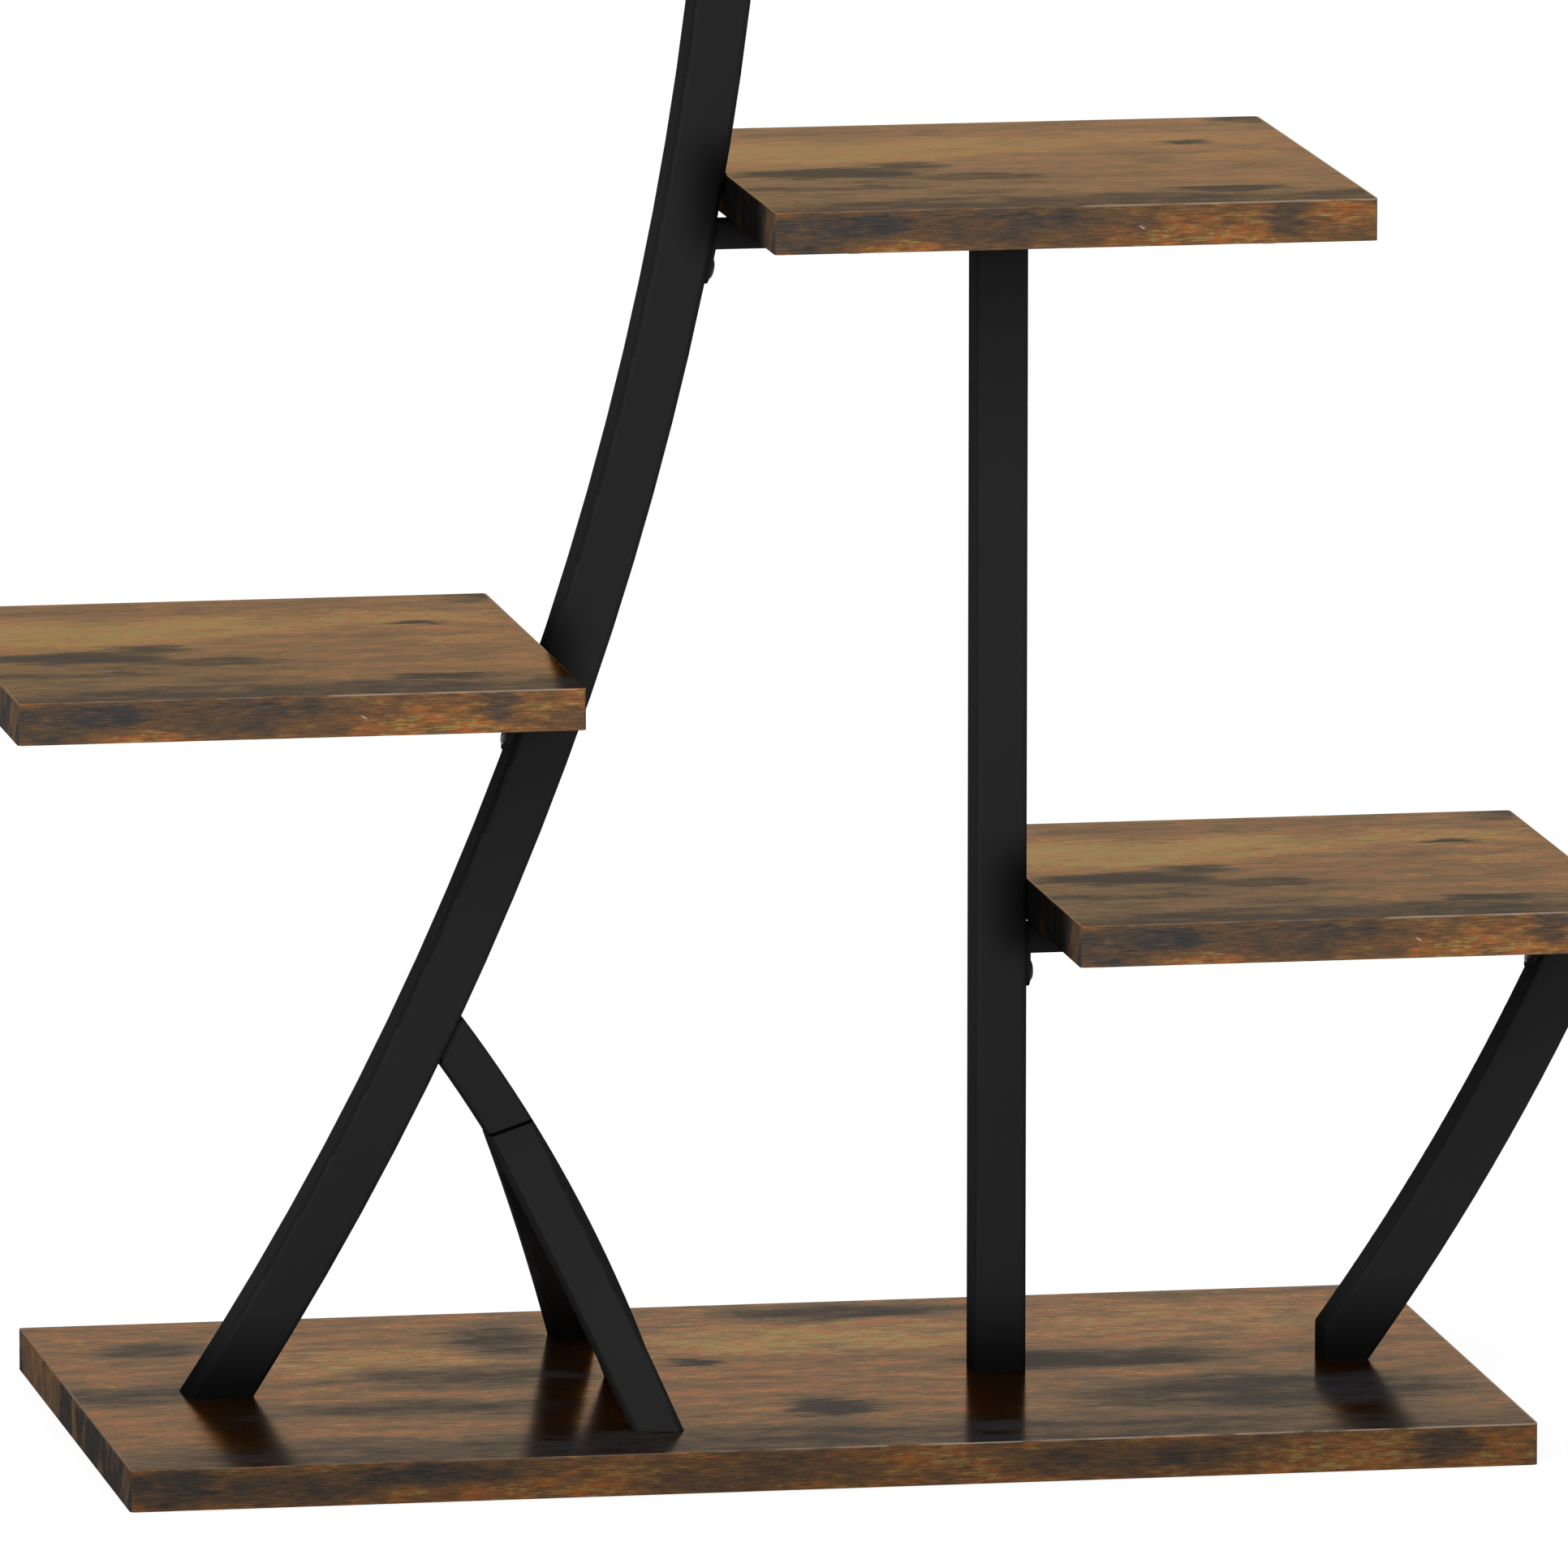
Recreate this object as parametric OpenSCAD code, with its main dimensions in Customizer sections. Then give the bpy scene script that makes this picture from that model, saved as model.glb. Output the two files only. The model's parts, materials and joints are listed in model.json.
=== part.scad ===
// Half-moon tiered plant stand.
// A bowed steel stem rises from a wood-look base board and carries wood-look shelves on its left and right.
// Millimetres. +X runs to the right, +Y to the back and +Z up, from the middle of the base board's underside.

/* [Boards] */
// Width of the base board
base_w = 540; // [500:5:620]
// Depth of the base board from front to back
base_d = 290; // [250:5:360]
// Depth of every shelf from front to back
shelf_d = 232; // [210:2:260]
// Thickness of every board
board_t = 16; // [12:1:20]
// Corner radius of every board
board_r = 2; // [1.5:0.5:8]
// Thickness of the band glued round a board's edge
band_t = 0.8; // [0.5:0.1:1.2]

/* [Shelves] */
// Height of the low right shelf's underside
low_right_z = 191.5; // [180:0.5:205]
// How far the low right shelf reaches past the right leg's inner face, level with its underside
low_right_lap = 4.3; // [2:0.1:6]
// Height of the low left shelf's underside
low_left_z = 288; // [270:1:310]
// Width of every shelf that hangs from one side of the stem
hung_w = 216; // [180:2:240]
// Height of the middle right shelf's underside
mid_right_z = 466.5; // [440:0.5:500]
// Width of the middle right shelf, which rests on the stem and the post
mid_right_w = 231; // [200:1:260]
// Height of the middle left shelf's underside
mid_left_z = 690; // [660:5:720]
// Height of the high right shelf's underside
high_right_z = 885; // [850:5:920]
// Height of the high left shelf's underside
high_left_z = 1110; // [1080:5:1140]
// Gap between a board's end and the bowed tube that it meets, half way up the board
end_gap = 1.2; // [0.8:0.1:3]
// Gap between the low right board's end and the post
post_gap = 0.3; // [0.2:0.1:1]

/* [Bowed tubes] */
// Width of the bowed tubes, measured across their bend
bow_w = 22; // [20:0.5:26]
// Depth of the bowed tubes and the post from front to back
tube_d = 20; // [18:0.5:24]
// Wall of every steel tube
tube_wall = 1.2; // [1:0.1:2]
// Outer corner radius of the tubes
tube_r = 2.2; // [1.5:0.1:3]
// Bend radius along the middle of the stem
stem_bend_r = 1247; // [1200:1:1300]
// Height of the middle of the stem, where it stands upright
stem_mid_z = 698.7; // [690:0.1:710]
// Height of the seam between the stem's two lengths
stem_seam_z = 765; // [760:1:775]
// How far the middle of the stem's foot stands inside the base's left end
stem_inset = 55.1; // [45:0.1:65]
// Bend radius along the middle of the right leg
leg_bend_r = 917.5; // [890:0.5:950]
// Height of the centre that the right leg bends about
leg_centre_z = 562.5; // [545:0.5:580]
// How far inside the base's right end the middle of the right leg would meet the base
leg_inset = 51.4; // [48:0.1:56]
// How far inside the base's right end the right leg's heel is cut upright
heel_inset = 55; // [52:0.5:58]

/* [Post] */
// Width of the post
post_w = 20; // [18:0.5:24]
// Middle of the post, right of the base's middle
post_x = 88; // [80:1:96]

/* [Brace] */
// Width of the brace's tubes
brace_w = 17.5; // [16:0.5:20]
// Bend radius along the middle of the brace's bow
brace_bend_r = 542.5; // [500:0.5:600]
// How far under the floor the centre lies that this bow bends about
brace_centre_drop = 165.5; // [150:0.5:180]
// Where this bow stands, right of the stem's foot
brace_foot_reach = 160.9; // [150:0.1:170]
// Height on the bow where the front and the rear leg branch off
joint_z = 118; // [112:0.5:124]
// Tilt of the line that the two legs are turned out about, in degrees
joint_tilt = 18.5; // [14:0.5:22]
// How far the two legs are turned out to the front and the back, in degrees
splay = 40.3; // [36:0.1:44]
// Depth of these legs, square to their front faces
fork_d = 13.5; // [12:0.5:17]
// How far these legs drift to the right between joint and foot
fork_drift = 7.2; // [4:0.1:12]
// Bend radius of these legs
fork_bend_r = 2390; // [1800:10:3000]
// Shadow groove at the bow's top end and where the legs branch off
groove = 0.8; // [0.4:0.1:0.9]

/* [Shelf brackets] */
// Height of the rail under a shelf
rail_h = 11; // [10:0.5:14]
// Depth of the rail from front to back
rail_d = 12; // [10.5:0.5:16]
// How far a rail's free end stays inside the board's end
rail_inset = 18; // [10:1:30]
// Thickness of the flat straps between rail and board
strap_t = 2.4; // [2:0.1:3]
// Width of a strap
strap_w = 20; // [16:1:26]
// Length of a strap from front to back
strap_l = 190; // [150:5:200]
// How far a strap stays inside the board's end
strap_inset = 36; // [32:1:44]
// Thickness of the plate on a rail's end
plate_t = 2; // [1.6:0.1:3]
// How far the plate's screw lies below the rail
plate_drop = 7.4; // [6.5:0.1:10]

/* [Fasteners] */
// Radius of the screws that hold the end plates
plate_screw_r = 2.5; // [2:0.5:2.5]
// Length of these screws under the head
plate_screw_l = 12; // [10:0.5:15]
// Radius of their button heads
plate_head_r = 4.2; // [4:0.05:5]
// Height of their button heads
plate_head_h = 1.6; // [1.4:0.1:2.6]
// Radius of the bolts under the base board
base_bolt_r = 3; // [2.5:0.5:3]
// Radius of their heads
base_head_r = 5.25; // [4.5:0.05:5.5]
// Height of their heads
base_head_h = 3.3; // [2.5:0.1:3.3]
// Depth of the recess that hides head and washer in the base board
recess_depth = 5; // [4.8:0.1:6]
// Radius of the recess
recess_r = 8; // [7.2:0.1:9]
// Radius of the washers in the recess
washer_r = 7; // [6:0.1:7]
// Thickness of these washers
washer_t = 1.2; // [1:0.1:1.4]
// Radius of the wood screws in the straps
wood_screw_r = 1.75; // [1.5:0.05:2]
// Length of the wood screws under the head
wood_screw_l = 12; // [10:0.5:12]
// Radius of the wood screws' pan heads
wood_head_r = 3.5; // [3:0.1:4]
// Height of the wood screws' pan heads
wood_head_h = 2; // [1.5:0.1:2.5]
// Radius of the screws in the stem's sleeve
sleeve_screw_r = 2; // [1.5:0.25:2]
// Radius of their button heads
sleeve_head_r = 3.8; // [3:0.1:4]
// Height of their button heads
sleeve_head_h = 2; // [1.6:0.1:2.2]

/* [Inner pieces] */
// Thickness of the plates welded into the feet
foot_plate_t = 4; // [3:0.5:6]
// Length of the sleeve inside the stem
sleeve_l = 110; // [90:5:130]
// Wall of the sleeve
sleeve_wall = 1.5; // [1.2:0.1:2]
// Thickness of the nuts inside the tubes
nut_t = 4; // [3:0.5:5]
// Width of these nuts across their flats
nut_af = 8; // [8:0.5:9]
// Length of the plugs in the brace's top end and in the post
plug_l = 10; // [8:0.5:12]
// Thickness of the plastic caps' visible rims
cap_t = 2.5; // [1.5:0.1:4]
// Depth of the plastic caps' shanks inside the tubes
cap_plug_l = 9; // [6:0.5:12]

/* [Hidden] */

// Clearance round a screw in a hole that it only passes through
pass_gap = 0.25;
// Clearance round a screw in the thread that holds it
thread_gap = 0.05;
// Clearance of a plug, cap or sleeve inside its tube
slide_gap = 0.2;
// Clearance between an end plate and a bowed face, which is not quite flat
seat_gap = 0.1;
// Clearance of a notch in a board round the tube that passes it
notch_gap = 0.6;
// Larger than the stand, for cutting solids away
far = 3000;
// Sides of a full circle along the tubes' bends, and round holes and corners
bend_fn = 720;
round_fn = 48;

base_top = board_t;
stem_foot_x = stem_inset - base_w / 2;
leg_foot_x = base_w / 2 - leg_inset;
leg_heel_x = base_w / 2 - heel_inset;
brace_foot_x = stem_foot_x + brace_foot_reach;
steel = [0.15, 0.15, 0.16];
wood = [0.55, 0.36, 0.22];
band_colour = [0.6, 0.38, 0.22];
zinc = [0.7, 0.71, 0.72];
plastic = [0.08, 0.08, 0.08];

// Centre of each bend, level with the height where the tube stands upright
stem_centre = [stem_foot_x - sqrt(pow(stem_bend_r, 2) - pow(stem_mid_z - base_top, 2)), stem_mid_z];
leg_centre = [leg_foot_x - sqrt(pow(leg_bend_r, 2) - pow(leg_centre_z - base_top, 2)), leg_centre_z];
brace_centre_x = brace_foot_x - sqrt(pow(brace_bend_r, 2) - pow(base_top + brace_centre_drop, 2));
brace_centre = [brace_centre_x, -brace_centre_drop];
stem_in_r = stem_bend_r - bow_w / 2;
stem_out_r = stem_bend_r + bow_w / 2;
leg_in_r = leg_bend_r - bow_w / 2;
leg_out_r = leg_bend_r + bow_w / 2;
// The stem is as tall above its middle as below it
stem_top = 2 * stem_mid_z - base_top;
low_right_top = low_right_z + board_t;

// Where a circle round a bend's centre passes a height, and its turn from level there
function bow_x(centre, r, z) = centre[0] + sqrt(r * r - pow(z - centre[1], 2));
function bow_turn(centre, r, z) = asin((z - centre[1]) / r);

// Ends of the boards beside the stem, set from the stem's face half way up the board
function left_end(z) = bow_x(stem_centre, stem_in_r, z + board_t / 2) - end_gap;
function right_end(z) = bow_x(stem_centre, stem_out_r, z + board_t / 2) + end_gap;

// Each shelf is its left end, its right end and its underside's height
low_right_end = bow_x(leg_centre, leg_in_r, low_right_z) + low_right_lap;
low_right = [post_x + post_w / 2 + post_gap, low_right_end, low_right_z];
low_left = [left_end(low_left_z) - hung_w, left_end(low_left_z), low_left_z];
mid_right = [right_end(mid_right_z), right_end(mid_right_z) + mid_right_w, mid_right_z];
mid_left = [left_end(mid_left_z) - hung_w, left_end(mid_left_z), mid_left_z];
high_right = [right_end(high_right_z), right_end(high_right_z) + hung_w, high_right_z];
high_left = [left_end(high_left_z) - hung_w, left_end(high_left_z), high_left_z];
left_shelves = [low_left, mid_left, high_left];
right_shelves = [mid_right, high_right];
shelves = concat([low_right], left_shelves, right_shelves);

function rail_top(shelf) = shelf[2] - strap_t;
function rail_bottom(shelf) = rail_top(shelf) - rail_h;
function plate_screw_z(shelf) = rail_bottom(shelf) - plate_drop;

// Where the middle line of the brace's bow meets the stem's face
centres = brace_centre - stem_centre;
centres_apart = norm(centres);
meet_along = (pow(stem_out_r, 2) - pow(brace_bend_r, 2) + pow(centres_apart, 2)) / (2 * centres_apart);
meet_aside = sqrt(pow(stem_out_r, 2) - pow(meet_along, 2));
brace_top_z = stem_centre[1] + (meet_along * centres[1] + meet_aside * centres[0]) / centres_apart;

// The brace's legs start from the bow's front and rear faces and bend in planes that are turned out
joint_x = bow_x(brace_centre, brace_bend_r, joint_z);
fork_rise = joint_z - base_top + fork_drift * sin(joint_tilt) - fork_d / 2 * cos(joint_tilt) * sin(splay);
fork_l = fork_rise / cos(joint_tilt) / cos(splay);
fork_chord = norm([fork_drift, fork_l]);
fork_lean = atan(fork_drift / fork_l);
fork_half_turn = asin(fork_chord / 2 / fork_bend_r);
fork_reach = fork_bend_r * cos(fork_half_turn);
fork_centre = [fork_drift / 2 - fork_reach * cos(fork_lean), -fork_l / 2 - fork_reach * sin(fork_lean)];
// Turn of the extra length at both ends of a leg, before it is cut
fork_spare = 1.2;
fork_foot_run = fork_drift * cos(joint_tilt) + (fork_l * cos(splay) + fork_d / 2 * sin(splay)) * sin(joint_tilt);
fork_foot_x = joint_x + fork_foot_run;
fork_foot_y = tube_d / 2 + fork_l * sin(splay) - fork_d / 2 * cos(splay);

// Middles of the six feet on the base board
stem_foot = [stem_foot_x, 0];
brace_foot = [brace_foot_x, 0];
post_foot = [post_x, 0];
leg_foot = [(leg_heel_x + bow_x(leg_centre, leg_out_r, base_top)) / 2, 0];
front_foot = [fork_foot_x, -fork_foot_y];
rear_foot = [fork_foot_x, fork_foot_y];
feet = [stem_foot, brace_foot, post_foot, leg_foot, front_foot, rear_foot];

// The stud leans to the outside of the brace's bow, so it starts a little inside its middle line
stud_z = brace_top_z - brace_w / 8;
stud_r = base_bolt_r;
stud_nut_af = nut_af + 2;

// Turns round the stem's bend from level to the seam, and from there to the sleeve's ends and screws
seam_turn = bow_turn(stem_centre, stem_bend_r, stem_seam_z);
sleeve_turn = sleeve_l / 2 / stem_bend_r * 180 / PI;
sleeve_screw_turns = [-0.7, -0.3, 0.3, 0.7] * sleeve_turn;
// Where a screw through the rail enters the post
post_top = rail_bottom(mid_right);
post_head_h = strap_t - 0.4;
socket_af = plate_screw_r * 1.2;
socket_depth = 1.3;

// Rectangle with rounded corners, centred
module rounded(w, d, r) {
    square([w - 2 * r, d], center = true);
    square([w, d - 2 * r], center = true);
    for (x = [-1, 1] * (w / 2 - r), y = [-1, 1] * (d / 2 - r))
        translate([x, y])
            circle(r, $fn = round_fn);
}

// Section of a tube, and of what fills its inside
module core_section(w, d, gap = 0) {
    rounded(w - 2 * tube_wall - 2 * gap, d - 2 * tube_wall - 2 * gap, max(tube_r - tube_wall - gap, 0.3));
}

module tube_section(w, d) {
    difference() {
        rounded(w, d, tube_r);
        core_section(w, d);
    }
}

// Sweeps a section round a bend in the upright plane through the stand's middle
module bow(centre, r, from_turn, to_turn) {
    translate([centre[0], 0, centre[1]])
        rotate([90, 0, 0])
            rotate([0, 0, from_turn])
                rotate_extrude(angle = to_turn - from_turn, $fn = bend_fn)
                    translate([r, 0])
                        children();
}

// Puts children on a bowed face at a height, with local X pointing away from the bend's centre
module on_bow(centre, r, z) {
    translate([centre[0], 0, centre[1]])
        rotate([0, -bow_turn(centre, r, z), 0])
            translate([r, 0, 0])
                children();
}

// Frames of the end plates: local X points away from the face, level with the plate's screw
module on_stem_left(shelf) {
    on_bow(stem_centre, stem_in_r, plate_screw_z(shelf))
        mirror([1, 0, 0])
            children();
}

module on_stem_right(shelf) {
    on_bow(stem_centre, stem_out_r, plate_screw_z(shelf))
        children();
}

module on_post(shelf) {
    translate([post_x + post_w / 2, 0, plate_screw_z(shelf)])
        children();
}

module on_leg(shelf) {
    on_bow(leg_centre, leg_in_r, plate_screw_z(shelf))
        mirror([1, 0, 0])
            children();
}

// Slab between two heights
module slab(low, high) {
    translate([-far / 2, -far / 2, low])
        cube([far, far, high - low]);
}

// Cylinder along local X, from one place to another
module x_rod(r, from_x, to_x, sides = round_fn) {
    translate([from_x, 0, 0])
        rotate([0, 90, 0])
            cylinder(h = to_x - from_x, r = r, $fn = sides);
}

// Hex prism by its width across flats
module hex(af, h) {
    cylinder(h = h, r = af / sqrt(3), $fn = 6);
}

// Button-head screw along Z, with its bearing face at zero and its head below
module button_screw(r, l, head_r, head_h) {
    edge = head_h * 0.35;
    crown = head_h - edge;
    difference() {
        union() {
            cylinder(h = l, r = r, $fn = round_fn);
            translate([0, 0, -edge])
                cylinder(h = edge, r = head_r, $fn = round_fn);
            translate([0, 0, -head_h])
                rotate_extrude($fn = round_fn)
                    polygon([
                        [0, 0],
                        [head_r * 0.62, 0],
                        [head_r * 0.86, crown * 0.35],
                        [head_r, crown],
                        [0, crown]
                    ]);
        }
        translate([0, 0, -head_h - 1])
            hex(socket_af, 1 + min(socket_depth, head_h * 0.6));
    }
}

// Hex-socket bolt with a flat cylinder head
module base_bolt() {
    difference() {
        union() {
            cylinder(h = board_t - recess_depth + washer_t + foot_plate_t + 1, r = base_bolt_r, $fn = round_fn);
            translate([0, 0, -base_head_h])
                cylinder(h = base_head_h, r = base_head_r, $fn = round_fn);
        }
        translate([0, 0, -base_head_h - 1])
            hex(base_bolt_r * 1.33, 3);
    }
}

// Board, its core and the band round it
module board_outline(w, d) {
    rounded(w, d, board_r);
}

module core_outline(w, d) {
    rounded(w - 2 * band_t, d - 2 * band_t, board_r - band_t);
}

module base_board() {
    color(wood)
        difference() {
            linear_extrude(board_t)
                core_outline(base_w, base_d);
            for (foot = feet)
                translate([foot[0], foot[1], -1]) {
                    cylinder(h = board_t + 2, r = base_bolt_r + pass_gap, $fn = round_fn);
                    cylinder(h = recess_depth + 1, r = recess_r, $fn = round_fn);
                }
        }
}

module base_edge_band() {
    color(band_colour)
        linear_extrude(board_t)
            difference() {
                board_outline(base_w, base_d);
                core_outline(base_w, base_d);
            }
}

module base_bolts() {
    color(zinc)
        for (foot = feet)
            translate([foot[0], foot[1], recess_depth - washer_t])
                base_bolt();
}

module base_washers() {
    color(zinc)
        for (foot = feet)
            translate([foot[0], foot[1], recess_depth - washer_t])
                difference() {
                    cylinder(h = washer_t, r = washer_r, $fn = round_fn);
                    translate([0, 0, -1])
                        cylinder(h = washer_t + 2, r = base_bolt_r + pass_gap, $fn = round_fn);
                }
}

// Plates welded into the feet, threaded for the bolts under the base board
module foot_plates() {
    color(steel)
        difference() {
            intersection() {
                slab(base_top, base_top + foot_plate_t);
                union() {
                    bow(stem_centre, stem_bend_r, -40, -25)
                        core_section(bow_w, tube_d, thread_gap);
                    translate([post_x, 0, 0])
                        linear_extrude(far)
                            core_section(post_w, tube_d, thread_gap);
                    difference() {
                        bow(leg_centre, leg_bend_r, -50, -25)
                            core_section(bow_w, tube_d, thread_gap);
                        heel_cut(tube_wall + thread_gap);
                    }
                    brace_bow_sweep()
                        core_section(brace_w, tube_d, thread_gap);
                    for (side = [1, -1])
                        brace_leg_sweep(side)
                            core_section(brace_w, fork_d, thread_gap);
                }
            }
            for (foot = feet)
                translate([foot[0], foot[1], 0])
                    cylinder(h = far, r = base_bolt_r + thread_gap, $fn = round_fn);
        }
}

// Hole through one wall of a tube for a screw, in the frame of an end plate
module wall_hole(r) {
    x_rod(r, -tube_wall - 2, 1);
}

// The stem's lower length, from the base board to the seam
module stem_lower() {
    color(steel)
        difference() {
            bow(stem_centre, stem_bend_r, -40, seam_turn)
                tube_section(bow_w, tube_d);
            slab(-far, base_top);
            for (shelf = left_shelves)
                if (plate_screw_z(shelf) < stem_seam_z)
                    on_stem_left(shelf)
                        wall_hole(plate_screw_r + pass_gap);
            on_stem_right(mid_right)
                wall_hole(plate_screw_r + pass_gap);
            on_bow(stem_centre, stem_out_r, stud_z)
                wall_hole(stud_r + pass_gap);
            sleeve_holes(sleeve_screw_r + pass_gap);
        }
}

// The stem's upper length, from the seam to the cap
module stem_upper() {
    color(steel)
        difference() {
            bow(stem_centre, stem_bend_r, seam_turn, 40)
                tube_section(bow_w, tube_d);
            slab(stem_top, far);
            for (shelf = left_shelves)
                if (plate_screw_z(shelf) > stem_seam_z)
                    on_stem_left(shelf)
                        wall_hole(plate_screw_r + pass_gap);
            on_stem_right(high_right)
                wall_hole(plate_screw_r + pass_gap);
            sleeve_holes(sleeve_screw_r + pass_gap);
        }
}

// Places along the stem's back face, with local Z pointing to the front
module at_sleeve_screws() {
    for (turn = sleeve_screw_turns)
        translate([stem_centre[0], 0, stem_centre[1]])
            rotate([0, -seam_turn - turn, 0])
                translate([stem_bend_r, tube_d / 2, 0])
                    rotate([90, 0, 0])
                        children();
}

module sleeve_holes(r) {
    at_sleeve_screws()
        translate([0, 0, -1])
            cylinder(h = tube_wall + sleeve_wall + slide_gap + 2, r = r, $fn = round_fn);
}

// Sleeve that joins the two lengths of the stem from inside
module stem_sleeve() {
    inner_w = bow_w - 2 * (tube_wall + slide_gap);
    inner_d = tube_d - 2 * (tube_wall + slide_gap);
    color(zinc)
        difference() {
            bow(stem_centre, stem_bend_r, seam_turn - sleeve_turn, seam_turn + sleeve_turn)
                difference() {
                    rounded(inner_w, inner_d, 1);
                    rounded(inner_w - 2 * sleeve_wall, inner_d - 2 * sleeve_wall, 0.5);
                }
            sleeve_holes(sleeve_screw_r + thread_gap);
        }
}

module stem_sleeve_screws() {
    color(steel)
        at_sleeve_screws()
            button_screw(sleeve_screw_r, tube_wall + sleeve_wall + slide_gap + 2, sleeve_head_r, sleeve_head_h);
}

module stem_cap() {
    color(plastic) {
        intersection() {
            bow(stem_centre, stem_bend_r, 25, 45)
                rounded(bow_w, tube_d, tube_r);
            slab(stem_top, stem_top + cap_t);
        }
        intersection() {
            bow(stem_centre, stem_bend_r, 25, 45)
                core_section(bow_w, tube_d, slide_gap);
            slab(stem_top - cap_plug_l, stem_top);
        }
    }
}

module post() {
    color(steel)
        difference() {
            translate([post_x, 0, base_top])
                linear_extrude(post_top - base_top)
                    tube_section(post_w, tube_d);
            on_post(low_right)
                wall_hole(plate_screw_r + pass_gap);
        }
}

// Threaded plug in the post's top end
module post_top_plug() {
    color(zinc)
        translate([post_x, 0, post_top - plug_l])
            difference() {
                linear_extrude(plug_l)
                    core_section(post_w, tube_d, slide_gap);
                translate([0, 0, -1])
                    cylinder(h = plug_l + 2, r = plate_screw_r + thread_gap, $fn = round_fn);
            }
}

// Flat-head screw that holds the middle right shelf's rail down on the post
module post_screw() {
    color(zinc)
        translate([post_x, 0, rail_top(mid_right)])
            difference() {
                union() {
                    translate([0, 0, 1 - rail_h - plug_l])
                        cylinder(h = rail_h + plug_l, r = plate_screw_r, $fn = round_fn);
                    cylinder(h = post_head_h, r = plate_head_r, $fn = round_fn);
                }
                translate([0, 0, 0.6])
                    hex(socket_af, post_head_h);
            }
}

// Everything left of an upright cut through the right leg's heel
module heel_cut(gap) {
    translate([leg_heel_x + gap - far, -far / 2, 0])
        cube([far, far, low_right_z / 2]);
}

module right_leg() {
    color(steel)
        difference() {
            union() {
                difference() {
                    bow(leg_centre, leg_bend_r, -50, -15)
                        tube_section(bow_w, tube_d);
                    heel_cut(0);
                }
                intersection() {
                    bow(leg_centre, leg_bend_r, -50, -25)
                        core_section(bow_w, tube_d);
                    difference() {
                        heel_cut(tube_wall);
                        heel_cut(0);
                    }
                }
            }
            slab(-far, base_top);
            slab(low_right_top, far);
            on_leg(low_right)
                wall_hole(plate_screw_r + pass_gap);
        }
}

module right_leg_cap() {
    color(plastic) {
        intersection() {
            bow(leg_centre, leg_bend_r, -35, -10)
                rounded(bow_w, tube_d, tube_r);
            slab(low_right_top, low_right_top + cap_t);
        }
        intersection() {
            bow(leg_centre, leg_bend_r, -35, -10)
                core_section(bow_w, tube_d, slide_gap);
            slab(low_right_top - cap_plug_l, low_right_top);
        }
    }
}

// Everything on the stem's side of a circle round the stem's bend
module stem_side(gap) {
    translate([stem_centre[0], tube_d * 2, stem_centre[1]])
        rotate([90, 0, 0])
            cylinder(h = tube_d * 4, r = stem_out_r + gap, $fn = bend_fn);
}

// Sweeps a section along the brace's bow, past both of its ends
module brace_bow_sweep() {
    bow(brace_centre, brace_bend_r, 10, 60)
        children();
}

module brace_bow() {
    color(steel)
        difference() {
            brace_bow_sweep()
                tube_section(brace_w, tube_d);
            stem_side(groove);
            slab(-far, base_top);
        }
}

// Plug in the bow's top end, which stands proud to seat on the stem and holds the stud
module brace_top_plug() {
    color(steel)
        difference() {
            intersection() {
                brace_bow_sweep()
                    core_section(brace_w, tube_d, slide_gap);
                stem_side(plug_l);
            }
            stem_side(thread_gap);
            on_bow(stem_centre, stem_out_r, stud_z)
                x_rod(stud_r + thread_gap, -1, plug_l + 2);
        }
}

// Stud that pulls the brace's bow on to the stem
module brace_stud() {
    color(zinc)
        on_bow(stem_centre, stem_out_r, stud_z)
            x_rod(stud_r, -tube_wall - nut_t - 2, plug_l - 1);
}

module brace_stud_nut() {
    color(zinc)
        on_bow(stem_centre, stem_out_r, stud_z)
            translate([-tube_wall - thread_gap, 0, 0])
                rotate([0, -90, 0])
                    difference() {
                        hex(stud_nut_af, nut_t);
                        translate([0, 0, -1])
                            cylinder(h = nut_t + 2, r = stud_r + thread_gap, $fn = round_fn);
                    }
}

// Puts children on the line that a leg branches off along: X along it, Y up the leg, Z out of its nearer face
module at_joint(side) {
    translate([joint_x, -side * tube_d / 2, joint_z])
        rotate([0, -joint_tilt, 0])
            rotate([90 - side * splay, 0, 0])
                children();
}

// Sweeps a section down a leg of the brace, to the front for 1 and to the back for -1
module brace_leg_sweep(side) {
    at_joint(side)
        translate([fork_centre[0], fork_centre[1], 0])
            rotate([0, 0, fork_lean - fork_half_turn - fork_spare])
                rotate_extrude(angle = 2 * (fork_half_turn + fork_spare), $fn = bend_fn)
                    translate([fork_bend_r, -side * fork_d / 2])
                        children();
}

// Everything in front of a place in front of the middle, or behind a place behind it
module beyond(side, y) {
    translate([-far / 2, side > 0 ? -y - far : y, -far / 2])
        cube([far, far, far]);
}

// Leg whose upper end is closed where it is welded to the bow
module brace_leg(side) {
    color(steel)
        difference() {
            intersection() {
                union() {
                    brace_leg_sweep(side)
                        tube_section(brace_w, fork_d);
                    difference() {
                        brace_leg_sweep(side)
                            core_section(brace_w, fork_d, -tube_wall / 2);
                        beyond(side, tube_d / 2 + tube_wall);
                        slab(-far, joint_z - 2 * tube_d);
                    }
                }
                beyond(side, tube_d / 2);
            }
            slab(-far, base_top);
            at_joint(side)
                translate([-far / 2, -groove, -far / 2])
                    cube([far, far, far]);
        }
}

module brace_front_leg() {
    brace_leg(1);
}

module brace_rear_leg() {
    brace_leg(-1);
}

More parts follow.
